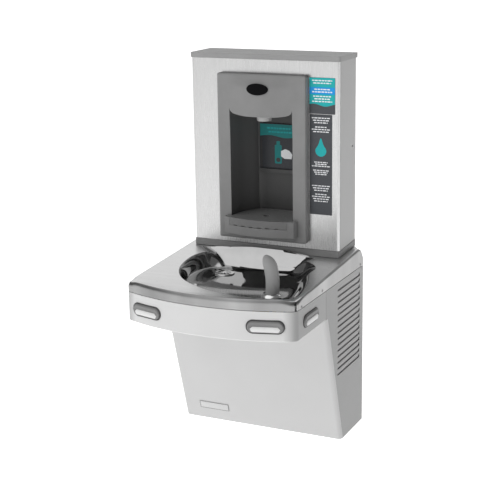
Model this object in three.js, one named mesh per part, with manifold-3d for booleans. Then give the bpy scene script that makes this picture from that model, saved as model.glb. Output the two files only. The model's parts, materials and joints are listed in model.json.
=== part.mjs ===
// A wall-hung water cooler with a bottle filler on top.
// Millimetres, +Z up, the front faces -Y and the wall is the plane y = 0.
// Heights below are counted from the cabinet's bottom edge. The finished group is lowered by
// BRACKET_HEIGHT, so that the origin is the middle of the hanger bracket's back face.

import * as THREE from 'three';
import Module from 'manifold-3d';

const wasm = await Module();
wasm.setup();

// ---------------------------------------------------------------- driving dimensions

const BRACKET_HEIGHT = 400;
const HALF_WIDTH = 230;
const SHEET = 1.5;
const GAP = 0.4;
const BEYOND = 400;

// deck, bowl and skirt
const DECK_AT_WALL = 489.5;
const DECK_SLOPE = 0.0617;
const SKIRT_BOTTOM = 437.8;
const FRONT_CENTRE_Y = 84;
const FRONT_RADIUS = 583;
const FRONT_CORNER = 22;
const REAR_TOP_RADIUS = 35;
const BEAD_HEIGHT = 5.5;
const HUMP_HEIGHT = 12;
const TOWER_FRONT = -120;
const BOWL_CENTRE = [20, -300];
const DRAIN = [-75, -215];
const DRAIN_RADIUS = 22;
const DRAIN_Z = 436.5;
const FLOOR_SLOPE = 0.035;
const BUBBLER = [139, -395];
const BUBBLER_Z = 449.8;
const BOWL_RIM = [
  [-100, -150], [-137, -156], [-161, -188], [-169, -236], [-157, -307], [-125, -366],
  [-81, -406], [-17, -438], [39, -452], [100, -458], [160, -450], [202, -437],
  [217, -412], [211, -352], [196, -296], [180, -250], [180, -212], [160, -182],
  [125, -162], [80, -152], [0, -149], [-60, -149],
];

// apron, lower cabinet
const APRON_BOTTOM = 362;
const APRON_TOP = 437.4;
const APRON_REAR = -266;
const CABINET_FLOOR_Y = -158;
const PANEL_RETURN = 13;
const LOUVRES = 15;
const LOUVRE_PITCH = 16.2;
const LOUVRE_BOTTOM = 187;
const LOUVRE_FRONT = -185;
const LOUVRE_REAR = -25;
const WINDOW = { x: 110, bottom: 60, top: 325 };

// push pads: where each sits and which way it faces, as a turn from straight ahead
const PAD_Z = 399.5;
const PAD_LENGTH = 88.5;
const PAD_HEIGHT = 29;
const PAD_TURN = 15.35 * Math.PI / 180;
const PAD_SIDE_Y = -365;
const PAD_PLACES = [
  ['front_left', -160, -PAD_TURN],
  ['front_right', 160, PAD_TURN],
  ['side_left', -HALF_WIDTH, -Math.PI / 2],
  ['side_right', HALF_WIDTH, Math.PI / 2],
];

// tower
const TOWER_HALF = 207;
const TOWER_BOTTOM = 500;
const TOWER_TOP = 985;
const CAP_TOP = 998;
const EDGE_RADIUS = 7;
const BEZEL_HALF = 124.5;
const BEZEL_BOTTOM = 516;
const BEZEL_TOP = 950;
const BEZEL_FACE = -140;
const BEZEL_ROUND = 8;
const HOOD_HALF = 112;
const HOOD_BULGE = 21;
const ALCOVE_HALF = 88;
const ALCOVE_CEILING = 866;
const HOOD_EDGE = 843;
const TRAY_TOP = 577;
const TRAY_BOTTOM = 534;
const TRAY_SPLIT = 556.5;
const TRAY_FRONT = -178;
const TRAY_RADIUS = 272;
const TRAY_HALF = 101;
const INSERT_HALF = 82;
const ALCOVE_PLAN = [
  [88, -141], [87, -112], [81, -82], [71, -60], [61, -44], [56, -37], [53.5, -32.6],
];
const ALCOVE_BACK = -31;
const NOZZLE_Y = -117;

// colour, roughness, metalness
const FINISH = {
  steel: [0xc4c6c8, 0.35, 0.9],
  polished: [0xdcdee0, 0.18, 1],
  chrome: [0xdfe2e6, 0.08, 1],
  zinc: [0xa9abad, 0.5, 0.8],
  paint: [0xd0d1d2, 0.45, 0.3],
  side: [0x9c9ea0, 0.45, 0.3],
  grey: [0x88898b, 0.5, 0],
  tray: [0x6a6b6d, 0.55, 0],
  dark: [0x4a4b4d, 0.5, 0],
  black: [0x16171a, 0.4, 0],
  white: [0xdcddde, 0.5, 0],
  copper: [0xb87a4b, 0.35, 0.9],
  brass: [0xb59a55, 0.35, 0.9],
  teal: [0x1fa59c, 0.4, 0],
  blue: [0x3f6f9f, 0.4, 0],
};

// ---------------------------------------------------------------- solids

function facingOut(geometry) {
  const flat = geometry.index ? geometry.toNonIndexed() : geometry;
  const p = flat.attributes.position;
  const a = new THREE.Vector3();
  const b = new THREE.Vector3();
  const c = new THREE.Vector3();
  let volume = 0;
  for (let i = 0; i < p.count; i += 3) {
    a.fromBufferAttribute(p, i);
    b.fromBufferAttribute(p, i + 1);
    c.fromBufferAttribute(p, i + 2);
    volume += a.dot(b.cross(c));
  }
  const vertex = [];
  const index = [];
  const seen = new Map();
  for (let i = 0; i < p.count; i += 1) {
    const key = [p.getX(i), p.getY(i), p.getZ(i)].map((v) => Math.round(v * 1e4)).join();
    if (!seen.has(key)) {
      seen.set(key, vertex.length / 3);
      vertex.push(p.getX(i), p.getY(i), p.getZ(i));
    }
    index.push(seen.get(key));
  }
  const kept = [];
  for (let i = 0; i < index.length; i += 3) {
    const [u, v, w] = index.slice(i, i + 3);
    if (u === v || v === w || w === u) continue;
    kept.push(...(volume < 0 ? [u, w, v] : [u, v, w]));
  }
  const out = new THREE.BufferGeometry();
  out.setAttribute('position', new THREE.Float32BufferAttribute(vertex, 3));
  out.setIndex(kept);
  return out;
}

function solid(geometry) {
  const g = facingOut(geometry);
  return new wasm.Manifold(new wasm.Mesh({
    numProp: 3,
    vertProperties: new Float32Array(g.attributes.position.array),
    triVerts: new Uint32Array(g.index.array),
  }));
}

function geometryOf(manifold) {
  const mesh = manifold.getMesh();
  const g = new THREE.BufferGeometry();
  g.setAttribute('position', new THREE.Float32BufferAttribute(Array.from(mesh.vertProperties), 3));
  g.setIndex(Array.from(mesh.triVerts));
  return g;
}

function join(...parts) {
  let all = solid(parts[0]);
  for (const part of parts.slice(1)) all = all.add(solid(part));
  return geometryOf(all);
}

function cut(base, ...tools) {
  let left = solid(base);
  for (const tool of tools) left = left.subtract(solid(tool));
  return geometryOf(left);
}

function common(a, b) {
  return geometryOf(solid(a).intersect(solid(b)));
}

function box(x0, x1, y0, y1, z0, z1) {
  const g = new THREE.BoxGeometry(x1 - x0, y1 - y0, z1 - z0);
  return g.translate((x0 + x1) / 2, (y0 + y1) / 2, (z0 + z1) / 2);
}

function outline(points, holes) {
  const shape = new THREE.Shape(points.map(([a, b]) => new THREE.Vector2(a, b)));
  for (const hole of holes) {
    shape.holes.push(new THREE.Path(hole.map(([a, b]) => new THREE.Vector2(a, b))));
  }
  return shape;
}

function alongZ(points, z0, z1, holes = []) {
  const g = new THREE.ExtrudeGeometry(outline(points, holes), { depth: z1 - z0, bevelEnabled: false });
  return g.translate(0, 0, z0);
}

function alongY(points, y0, y1, holes = []) {
  const g = new THREE.ExtrudeGeometry(outline(points, holes), { depth: y1 - y0, bevelEnabled: false });
  return g.rotateX(Math.PI / 2).translate(0, y1, 0);
}

function alongX(points, x0, x1, holes = []) {
  const g = new THREE.ExtrudeGeometry(outline(points, holes), { depth: x1 - x0, bevelEnabled: false });
  const turn = new THREE.Matrix4().makeBasis(
    new THREE.Vector3(0, 1, 0), new THREE.Vector3(0, 0, 1), new THREE.Vector3(1, 0, 0),
  );
  return g.applyMatrix4(turn).translate(x0, 0, 0);
}

function circle(radius, segments, x = 0, y = 0) {
  const points = [];
  for (let i = 0; i < segments; i += 1) {
    const a = 2 * Math.PI * i / segments;
    points.push([x + radius * Math.cos(a), y + radius * Math.sin(a)]);
  }
  return points;
}

function rect(x0, x1, y0, y1) {
  return [[x0, y0], [x1, y0], [x1, y1], [x0, y1]];
}

function rounded(x0, x1, y0, y1, radius, steps = 4) {
  const points = [];
  const corners = [[x1 - radius, y0 + radius], [x1 - radius, y1 - radius],
    [x0 + radius, y1 - radius], [x0 + radius, y0 + radius]];
  corners.forEach(([cx, cy], corner) => {
    for (let i = 0; i <= steps; i += 1) {
      const a = (corner - 1 + i / steps) * Math.PI / 2;
      points.push([cx + radius * Math.cos(a), cy + radius * Math.sin(a)]);
    }
  });
  return points;
}

function obround(length, height, steps = 4) {
  return rounded(-length / 2, length / 2, -height / 2, height / 2, height / 2 - 0.01, steps);
}

function turned(profile, segments, x = 0, y = 0) {
  const points = profile.map(([r, z]) => new THREE.Vector2(r, z));
  return new THREE.LatheGeometry(points, segments).rotateX(Math.PI / 2).translate(x, y, 0);
}

function bar(radius, z0, z1, segments, x = 0, y = 0) {
  return alongZ(circle(radius, segments, x, y), z0, z1);
}

function swept(shapePoints, path, steps, holes = []) {
  const curve = new THREE.CatmullRomCurve3(path.map((p) => new THREE.Vector3(...p)));
  curve.curveType = 'centripetal';
  return new THREE.ExtrudeGeometry(outline(shapePoints, holes), {
    steps, bevelEnabled: false, extrudePath: curve,
  });
}

// A closed patch between two faces, each a function of u and v in 0 to 1.
function between(nu, nv, front, back) {
  const vertex = [];
  const index = [];
  for (const face of [front, back]) {
    for (let i = 0; i <= nu; i += 1) {
      for (let j = 0; j <= nv; j += 1) vertex.push(...face(i / nu, j / nv));
    }
  }
  const half = (nu + 1) * (nv + 1);
  const at = (side, i, j) => side * half + i * (nv + 1) + j;
  const quad = (a, b, c, d) => index.push(a, b, c, a, c, d);
  for (let i = 0; i < nu; i += 1) {
    for (let j = 0; j < nv; j += 1) {
      quad(at(0, i, j), at(0, i + 1, j), at(0, i + 1, j + 1), at(0, i, j + 1));
      quad(at(1, i, j), at(1, i, j + 1), at(1, i + 1, j + 1), at(1, i + 1, j));
    }
  }
  for (let i = 0; i < nu; i += 1) {
    quad(at(0, i, 0), at(1, i, 0), at(1, i + 1, 0), at(0, i + 1, 0));
    quad(at(0, i, nv), at(0, i + 1, nv), at(1, i + 1, nv), at(1, i, nv));
  }
  for (let j = 0; j < nv; j += 1) {
    quad(at(0, 0, j), at(0, 0, j + 1), at(1, 0, j + 1), at(1, 0, j));
    quad(at(0, nu, j), at(1, nu, j), at(1, nu, j + 1), at(0, nu, j + 1));
  }
  const g = new THREE.BufferGeometry();
  g.setAttribute('position', new THREE.Float32BufferAttribute(vertex, 3));
  g.setIndex(index);
  return g;
}

function warp(geometry, move) {
  const p = geometry.attributes.position;
  for (let i = 0; i < p.count; i += 1) {
    p.setXYZ(i, ...move(p.getX(i), p.getY(i), p.getZ(i)));
  }
  return geometry;
}

function smooth(value, low, high) {
  const t = Math.min(1, Math.max(0, (value - low) / (high - low)));
  return t * t * (3 - 2 * t);
}

const root = new THREE.Group();
root.name = 'drinking_fountain';
root.position.z = -BRACKET_HEIGHT;

function add(name, geometry, [color, roughness, metalness]) {
  const material = new THREE.MeshStandardMaterial({ color, roughness, metalness });
  const mesh = new THREE.Mesh(facingOut(geometry), material);
  mesh.name = name;
  mesh.geometry.computeVertexNormals();
  root.add(mesh);
}

// ---------------------------------------------------------------- plan outlines

// The cabinet's plan from one rear corner round the bowed front to the other, drawn in by inset.
function frontPlan(inset, rear, arcSteps = 12, cornerSteps = 4) {
  const half = HALF_WIDTH - inset;
  const corner = FRONT_CORNER - inset;
  const cx = HALF_WIDTH - FRONT_CORNER;
  const cy = FRONT_CENTRE_Y - Math.sqrt((FRONT_RADIUS - FRONT_CORNER) ** 2 - cx ** 2);
  const turn = Math.atan2(cx, FRONT_CENTRE_Y - cy);
  const right = [];
  for (let i = 0; i <= cornerSteps; i += 1) {
    const a = (Math.PI / 2 - turn) * (i / cornerSteps) + turn - Math.PI / 2;
    right.push([cx + corner * Math.cos(a), cy + corner * Math.sin(a)]);
  }
  const arc = [];
  for (let i = 1; i < arcSteps; i += 1) {
    const a = turn * (2 * i / arcSteps - 1);
    const r = FRONT_RADIUS - inset;
    arc.push([r * Math.sin(a), FRONT_CENTRE_Y - r * Math.cos(a)]);
  }
  const left = right.map(([x, y]) => [-x, y]).reverse();
  return [[-half, rear], ...left, ...arc, ...right, [half, rear]];
}

function deckHeight(x, y) {
  const fall = Math.max(0, y + REAR_TOP_RADIUS);
  const drop = REAR_TOP_RADIUS - Math.sqrt(Math.max(0, REAR_TOP_RADIUS ** 2 - fall ** 2));
  return DECK_AT_WALL + DECK_SLOPE * y - drop * smooth(Math.abs(x), 208.6, 224);
}

// ---------------------------------------------------------------- basin

function spread(from, to, count) {
  const out = [];
  for (let i = 0; i < count; i += 1) out.push(from + (to - from) * i / count);
  return out;
}

// Points round the deck's edge with their outward directions.
function deckEdge() {
  const edge = [];
  const rear = -0.5;
  edge.push({ p: [HALF_WIDTH, rear], n: [1, 1] });
  for (const x of [214, 190, 150, 105, 60, 10, -45, -100, -150, -190, -214]) {
    edge.push({ p: [x, rear], n: [0, 1] });
  }
  edge.push({ p: [-HALF_WIDTH, rear], n: [-1, 1] });
  for (const y of [-16, -32, ...spread(-70, -420, 5)]) {
    edge.push({ p: [-HALF_WIDTH, y], n: [-1, 0] });
  }
  const front = frontPlan(0, rear, 12, 3).slice(1, -1);
  const inner = frontPlan(1, rear, 12, 3).slice(1, -1);
  front.forEach((p, i) => {
    edge.push({ p, n: [p[0] - inner[i][0], p[1] - inner[i][1]] });
  });
  for (const y of [...spread(-70, -420, 5).reverse(), -32, -16]) {
    edge.push({ p: [HALF_WIDTH, y], n: [1, 0] });
  }
  return edge;
}

function rimToward(point, rim) {
  const [cx, cy] = BOWL_CENTRE;
  const dx = point[0] - cx;
  const dy = point[1] - cy;
  let best = 0;
  for (let i = 0; i < rim.length; i += 1) {
    const a = rim[i];
    const b = rim[(i + 1) % rim.length];
    const ex = b.x - a.x;
    const ey = b.y - a.y;
    const det = dx * -ey + dy * ex;
    if (Math.abs(det) < 1e-9) continue;
    const t = ((a.x - cx) * -ey + (a.y - cy) * ex) / det;
    const s = (dx * (a.y - cy) - dy * (a.x - cx)) / det;
    if (t > 0 && s >= 0 && s <= 1) best = Math.max(best, t);
  }
  return [cx + dx * best, cy + dy * best];
}

// How far the splash lip stands above the deck at x.
function lip(x) {
  return HUMP_HEIGHT * smooth(x, -185, -20) * (1 - smooth(x, 50, 150));
}

function basinRings() {
  const curve = new THREE.CatmullRomCurve3(BOWL_RIM.map(([x, y]) => new THREE.Vector3(x, y, 0)), true);
  const rim = curve.getPoints(220);
  const columns = [];
  for (const { p: edge, n } of deckEdge()) {
    const r = rimToward(edge, rim);
    const toDrain = Math.hypot(DRAIN[0] - r[0], DRAIN[1] - r[1]);
    const inward = [(DRAIN[0] - r[0]) / toDrain, (DRAIN[1] - r[1]) / toDrain];
    const wall = 24 + 16 * smooth(r[0], 60, 200);
    const column = [];
    const at = (distance) => [r[0] + inward[0] * distance, r[1] + inward[1] * distance];
    const floorAt = (q) => DRAIN_Z + 1.2
      + FLOOR_SLOPE * (Math.hypot(q[0] - DRAIN[0], q[1] - DRAIN[1]) - DRAIN_RADIUS);
    const rimZ = deckHeight(...r) + 0.35 * lip(r[0]) * smooth(r[1], -175, -155);
    for (const radius of [DRAIN_RADIUS, DRAIN_RADIUS + 5]) {
      const q = at(toDrain - radius);
      column.push([...q, radius === DRAIN_RADIUS ? DRAIN_Z : floorAt(q)]);
    }
    for (const part of [0.5]) {
      const q = at(toDrain - (DRAIN_RADIUS + 5) - part * (toDrain - DRAIN_RADIUS - 5 - wall));
      column.push([...q, floorAt(q)]);
    }
    const foot = floorAt(at(wall));
    for (const part of [0, 0.3, 0.6, 0.88]) {
      column.push([...at(wall * (1 - part)), foot + (rimZ - 1 - foot) * smooth(part, -0.12, 1.05)]);
    }
    column.push([...r, rimZ]);
    const out = [edge[0] - r[0], edge[1] - r[1]];
    const length = Math.hypot(...out);
    const rearward = r[1] > -168 && out[1] > 0.5 * length;
    [[10, -140, 0.12, 0.72], [21, -129, 0.25, 1], [28, -122.5, 0.38, 0]].forEach(([d, y, most, share]) => {
      const t = rearward ? (y - r[1]) / out[1] : Math.min(d / length, most);
      const q = [r[0] + out[0] * t, r[1] + out[1] * t];
      column.push([...q, deckHeight(...q) + (rearward ? share * lip(q[0]) : 0)]);
    });
    const bead = BEAD_HEIGHT * smooth(-n[1], 0.2, 0.6);
    [[12, 0.5, 0, 0], [4, 0.25, 1, 0], [0, 0, 0.5, 2.2]].forEach(
      ([d, most, share, drop]) => {
        const inset = Math.min(d, most * length);
        const q = [edge[0] - n[0] * inset, edge[1] - n[1] * inset];
        column.push([...q, deckHeight(...q) + share * bead - drop]);
      },
    );
    column.push([...edge, SKIRT_BOTTOM]);
    columns.push(column);
  }
  return columns;
}

function thickSheet(columns, thickness) {
  const nc = columns.length;
  const nr = columns[0].length;
  const v = (c, r) => new THREE.Vector3(...columns[(c + nc) % nc][r]);
  const vertex = [];
  const under = [];
  for (let c = 0; c < nc; c += 1) {
    for (let r = 0; r < nr; r += 1) {
      const along = v(c + 1, r).sub(v(c - 1, r));
      const across = v(c, Math.min(nr - 1, r + 1)).sub(v(c, Math.max(0, r - 1)));
      const normal = across.cross(along).normalize();
      const q = v(c, r);
      vertex.push(q.x, q.y, q.z);
      q.addScaledVector(normal, -thickness);
      under.push(q.x, q.y, q.z);
    }
  }
  const half = nc * nr;
  const at = (side, c, r) => side * half + (c % nc) * nr + r;
  const index = [];
  const quad = (a, b, d, e) => index.push(a, b, d, a, d, e);
  for (let c = 0; c < nc; c += 1) {
    for (let r = 0; r < nr - 1; r += 1) {
      quad(at(0, c, r), at(0, c, r + 1), at(0, c + 1, r + 1), at(0, c + 1, r));
      quad(at(1, c, r), at(1, c + 1, r), at(1, c + 1, r + 1), at(1, c, r + 1));
    }
    quad(at(0, c, 0), at(0, c + 1, 0), at(1, c + 1, 0), at(1, c, 0));
    quad(at(0, c, nr - 1), at(1, c, nr - 1), at(1, c + 1, nr - 1), at(0, c + 1, nr - 1));
  }
  const g = new THREE.BufferGeometry();
  g.setAttribute('position', new THREE.Float32BufferAttribute([...vertex, ...under], 3));
  g.setIndex(index);
  return g;
}

function buildBasin() {
  const notchRear = -444.5;
  const notchFront = -451;
  const notchDepth = 8;
  const notch = box(-BEYOND, BEYOND, notchFront, notchRear, SKIRT_BOTTOM - 1, 460);
  const kept = HALF_WIDTH - notchDepth;
  const hollow = box(-kept, kept, notchFront - 1, notchRear + 1, 400, 500);
  const service = box(-90, 90, -95, -25, 460, 510);
  const shank = bar(11, 440, 460, 20, ...BUBBLER);
  const sheet = thickSheet(basinRings(), SHEET);
  add('basin', cut(sheet, cut(notch, hollow), service, shank), FINISH.polished);
}

// ---------------------------------------------------------------- bubbler, drain

function buildBubbler() {
  const [x, y] = BUBBLER;
  add('bubbler_base', turned([
    [0, BUBBLER_Z], [25, BUBBLER_Z], [25, BUBBLER_Z + 2], [22, BUBBLER_Z + 5], [19.5, BUBBLER_Z + 7],
    [19.5, BUBBLER_Z + 9], [0, BUBBLER_Z + 9],
  ], 28, x, y), FINISH.chrome);

  // The guard is a hood like a thumb, closed towards +X and open towards the bowl's middle.
  const low = BUBBLER_Z + 9.3;
  const tall = 93;
  const ring = (u, thin) => {
    const shut = smooth(u, 0.72, 1);
    const r = (20 - thin) * Math.sqrt(Math.max(0.012, 1 - shut ** 2.4));
    const lean = 3 * Math.sin(Math.PI * u) - 13 * u ** 2.2;
    return [x + lean + (thin ? -0.5 : 0), r];
  };
  const skin = (thin) => (u, v) => {
    const [cx, r] = ring(u, thin);
    const a = Math.PI * (-0.62 + 1.24 * v);
    return [cx + r * Math.cos(a), y + 0.92 * r * Math.sin(a), low + (tall - thin) * u];
  };
  add('bubbler_guard', between(8, 10, skin(0), skin(3)), FINISH.grey);

  const spout = swept(circle(5, 10), [
    [x + 2, y, low], [x + 2, y, low + 22], [x - 2, y, low + 36], [x - 9, y, low + 43],
  ], 8);
  add('bubbler_nozzle', spout, FINISH.chrome);
}

function buildLocknut() {
  const [x, y] = BUBBLER;
  const stem = bar(9.5, 420, BUBBLER_Z - 0.4, 16, x, y);
  const nut = alongZ(circle(17, 6, x, y), 436, 443.5);
  add('bubbler_shank', join(stem, nut), FINISH.brass);
}

function buildDrain() {
  const [x, y] = DRAIN;
  const top = DRAIN_Z + 2.6;
  const plate = turned([
    [0, top], [20.4, top], [26, top - 0.6], [26, top + 0.9], [0, top + 2.4],
  ], 20, x, y);
  const neck = turned([
    [20.4, top + 0.5], [20.4, top - 12], [18.6, top - 12], [18.6, top + 0.5], [20.4, top + 0.5],
  ], 20, x, y);
  const slots = [];
  for (let i = 0; i < 7; i += 1) {
    const slot = box(6, 17, -1.5, 1.5, top - 2, top + 5);
    slots.push(slot.rotateZ(i * 2 * Math.PI / 7).translate(x, y, 0));
  }
  add('drain_strainer', cut(join(plate, neck), ...slots), FINISH.chrome);
  add('drain_tailpiece', turned([
    [20.8, 434], [24, 434], [24, 420], [16, 416], [16, 339.5], [14, 339.5], [14, 414],
    [20.8, 418], [20.8, 434],
  ], 20, x, y), FINISH.chrome);

  const pipe = swept(circle(18, 10), [
    [x, y, 339], [x, y, 300], [x, y + 6, 270], [x, y + 32, 252], [x, y + 62, 266],
    [x, y + 82, 284], [x, y + 115, 290], [x, -60, 290], [x, -30, 290], [x, -6, 290],
  ], 14, [circle(15, 10).reverse()]);
  const nut = turned([
    [16.9, 350], [23, 350], [23, 330], [16.9, 330], [16.9, 350],
  ], 14, x, y);
  add('waste_trap', join(pipe, nut), FINISH.white);
}

// ---------------------------------------------------------------- push pads

function placePad(geometry, x, turn) {
  const side = Math.abs(x) === HALF_WIDTH;
  const y = side ? PAD_SIDE_Y : FRONT_CENTRE_Y - Math.sqrt(FRONT_RADIUS ** 2 - x ** 2);
  return geometry.rotateZ(turn).translate(x, y, PAD_Z);
}

function buildPad(place, x, turn) {
  const sleeve = alongY(obround(PAD_LENGTH + 5, PAD_HEIGHT + 5), -1.5, 22);
  const bore = alongY(obround(PAD_LENGTH + 1.2, PAD_HEIGHT + 1.2), -5, 20);
  const stemHole = alongY(circle(4.4, 12), 15, 30);
  add(`pad_sleeve_${place}`, placePad(cut(sleeve, bore, stemHole), x, turn), FINISH.dark);

  const face = alongY(obround(PAD_LENGTH - 4, PAD_HEIGHT - 4), -5.5, -3.5);
  const body = alongY(obround(PAD_LENGTH, PAD_HEIGHT), -4, 5);
  const stem = alongY(circle(3.6, 10), 4, 24.5);
  add(`push_pad_${place}`, placePad(join(body, face, stem), x, turn), FINISH.grey);

  const steps = 22;
  const perTurn = 6.3;
  const path = [];
  for (let i = 0; i <= steps; i += 1) {
    const a = 2 * Math.PI * i / perTurn;
    path.push([6.4 * Math.cos(a), 6.6 + 11.8 * i / steps, 6.4 * Math.sin(a)]);
  }
  add(`pad_spring_${place}`, placePad(swept(circle(0.8, 4), path, steps), x, turn), FINISH.steel);

  const reed = box(-14, 14, 30, 42, -9, 9);
  const clip = box(-18, -13, 22.4, 42, -5, 5);
  add(`pad_switch_${place}`, placePad(join(reed, clip), x, turn), FINISH.black);
}

// ---------------------------------------------------------------- cabinet

function buildBracket() {
  const plate = box(-200, 200, -3, 0, 365, 435);
  const shelf = box(-150, -90, -13, -2, 424, 427);
  const hook = box(-150, -90, -16, -12.5, 424, 434);
  const right = 240;
  const holes = [-160, 0, 160].map((x) => alongY(circle(4, 12, x, 385), -10, 10));
  add('wall_bracket', cut(join(
    plate, shelf, hook, shelf.clone().translate(right, 0, 0), hook.clone().translate(right, 0, 0),
  ), ...holes), FINISH.zinc);
}

function buildChassis() {
  const y0 = -10;
  const y1 = y0 + SHEET;
  const windowHole = rounded(-WINDOW.x, WINDOW.x, WINDOW.bottom, WINDOW.top, 10);
  const slots = [-155, 85].map((x) => rounded(x, x + 70, 420, 435.5, 2, 2));
  add('chassis_back', alongY(
    rect(1.8 - HALF_WIDTH, HALF_WIDTH - 1.8, 3.2, 437), y0, y1, [windowHole, ...slots],
  ), FINISH.zinc);

  const vents = [];
  for (let i = 0; i < 6; i += 1) vents.push(rounded(-100 + 40 * i, -80 + 40 * i, -130, -40, 5, 2));
  const half = HALF_WIDTH - 1.8;
  const shoulder = CABINET_FLOOR_Y + PANEL_RETURN + 1;
  add('chassis_floor', alongZ([
    [-half, -10.4], [-half, shoulder], [18 - half, shoulder], [18 - half, CABINET_FLOOR_Y + 4],
    [half - 18, CABINET_FLOOR_Y + 4], [half - 18, shoulder], [half, shoulder], [half, -10.4],
  ], 1, 2.5, vents), FINISH.zinc);
}

function slopeY(z) {
  return CABINET_FLOOR_Y + (APRON_REAR - CABINET_FLOOR_Y) * z / (APRON_BOTTOM - 1);
}

function buildSidePanel(name, side) {
  const outer = HALF_WIDTH * side;
  const inner = (HALF_WIDTH - SHEET) * side;
  const x0 = Math.min(outer, inner);
  const x1 = Math.max(outer, inner);
  const front = PANEL_RETURN + GAP;
  const sheet = alongX([
    [-0.3, 0], [-0.3, APRON_TOP], [APRON_REAR + GAP, APRON_TOP], [APRON_REAR + GAP, APRON_BOTTOM - 0.2],
    [slopeY(APRON_BOTTOM) + front, APRON_BOTTOM - 0.2], [slopeY(0) + front, 0],
  ], x0, x1);
  const windows = [];
  const blades = [];
  for (let i = 0; i < LOUVRES; i += 1) {
    const z = LOUVRE_BOTTOM + 2 + i * LOUVRE_PITCH;
    windows.push(box(-BEYOND, BEYOND, LOUVRE_FRONT, LOUVRE_REAR, z, z + 6));
    const inX = inner - side * 0.2;
    const lowX = outer + side * 0.2;
    const blade = alongY([
      [inX - side * 3, z - 3], [inX - side * 1.8, z - 3], [lowX, z + 6.4], [lowX - side * 1.2, z + 6.4],
    ], LOUVRE_FRONT, LOUVRE_REAR);
    blades.push(blade);
  }
  const flange = box(
    Math.min(inner, inner - side * 12), Math.max(inner, inner - side * 12), -1.8, -0.3, 10, 425,
  );
  add(name, join(cut(sheet, ...windows), ...blades, flange), FINISH.side);
}

function buildApron() {
  const outer = frontPlan(0, APRON_REAR);
  const inner = frontPlan(2, APRON_REAR);
  const wall = alongZ([...outer, ...inner.reverse()], APRON_BOTTOM, APRON_TOP);
  const under = alongZ(frontPlan(0.5, APRON_REAR), APRON_BOTTOM, APRON_BOTTOM + 2);
  const holes = PAD_PLACES.map(([, x, turn]) => placePad(
    alongY(obround(PAD_LENGTH + 5.8, PAD_HEIGHT + 5.8), -30, 30), x, turn,
  ));
  add('apron', cut(join(wall, under), ...holes), FINISH.paint);
}

function buildFrontPanel() {
  const round = 12;
  const plan = (inset) => {
    const half = HALF_WIDTH - inset;
    const r = round - inset;
    const points = [[half, PANEL_RETURN]];
    for (let i = 0; i <= 5; i += 1) {
      const a = -i / 5 * Math.PI / 2;
      points.push([half - r + r * Math.cos(a), round + r * Math.sin(a)]);
    }
    return [...points, ...points.map(([x, y]) => [-x, y]).reverse()];
  };
  const section = [...plan(0), ...plan(SHEET).reverse()];
  const height = APRON_BOTTOM - 0.6;
  const panel = warp(alongZ(section, 0, height), (x, y, z) => [x, y + slopeY(z), z]);
  const toe = box(14 - HALF_WIDTH, HALF_WIDTH - 14, CABINET_FLOOR_Y + 0.6, CABINET_FLOOR_Y + 3.4, 0, SHEET);
  add('front_access_panel', join(panel, toe), FINISH.paint);

  const tilt = Math.atan2(CABINET_FLOOR_Y - APRON_REAR, APRON_BOTTOM - 1);
  const plate = alongY(rounded(-43.5, 43.5, -11, 11, 1.5, 2), -1, 0);
  const [px, pz] = [-135.5, 43.5];
  plate.rotateX(tilt).translate(px, slopeY(pz) - 0.5, pz);
  add('nameplate', plate, FINISH.white);
}

// ---------------------------------------------------------------- inside the cabinet

function buildCooling() {
  add('compressor', join(
    turned([
      [0, 14], [45, 14], [58, 26], [60, 60], [60, 130], [54, 158], [35, 172], [0, 176],
    ], 18, -120, -80),
    box(-180, -60, -140, -20, 2.9, 8),
    bar(9, 7, 20, 10, -165, -80),
    bar(9, 7, 20, 10, -75, -80),
    bar(30, 7, 20, 14, -120, -80),
  ), FINISH.black);

  add('cold_tank', turned([
    [0, 212], [48, 212], [54, 220], [54, 385], [48, 394], [0, 398],
  ], 24, -155, -85), FINISH.white);

  const fins = [];
  for (let i = 0; i < 7; i += 1) fins.push(box(196, 218, -178, -40, 196 + 30 * i, 199 + 30 * i));
  const tubes = [-160, -109, -58].map((y) => bar(5, 190, 392, 6, 207, y));
  add('condenser', join(...fins, ...tubes), FINISH.copper);

  const fanY = -109;
  const fanZ = 290;
  const ring = (r0, r1, x0, x1) => alongX(
    circle(r1, 24, fanY, fanZ), x0, x1, [circle(r0, 24, fanY, fanZ).reverse()],
  );
  const board = alongX(rounded(-180, -38, 192, 392, 6, 2), 192, 194, [circle(60, 24, fanY, fanZ).reverse()]);
  const arm = box(129, 193, -3 + fanY, 3 + fanY, fanZ + 61, fanZ + 66);
  add('fan_shroud', join(board, ring(60, 64, 176, 193), arm,
    box(129, 133, fanY - 3, fanY + 3, fanZ + 26, fanZ + 66)), FINISH.dark);

  const motor = alongX(circle(24, 20, fanY, fanZ), 128, 160);
  const lug = box(133.5, 141, fanY - 3, fanY + 3, fanZ + 20, fanZ + 30);
  const shaft = alongX(circle(3, 10, fanY, fanZ), 158, 172);
  add('fan_motor', join(motor, lug, shaft), FINISH.black);

  const blades = [];
  for (let i = 0; i < 5; i += 1) {
    const blade = box(-1, 1, -14, 14, 12, 55).rotateZ(0.6).rotateX(i * 2 * Math.PI / 5);
    blades.push(blade.translate(182, fanY, fanZ));
  }
  const hub = cut(
    alongX(circle(16, 16, fanY, fanZ), 173, 190), alongX(circle(3.6, 10, fanY, fanZ), 160, 176),
  );
  add('fan_blade', join(hub, ...blades), FINISH.black);
}

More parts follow.
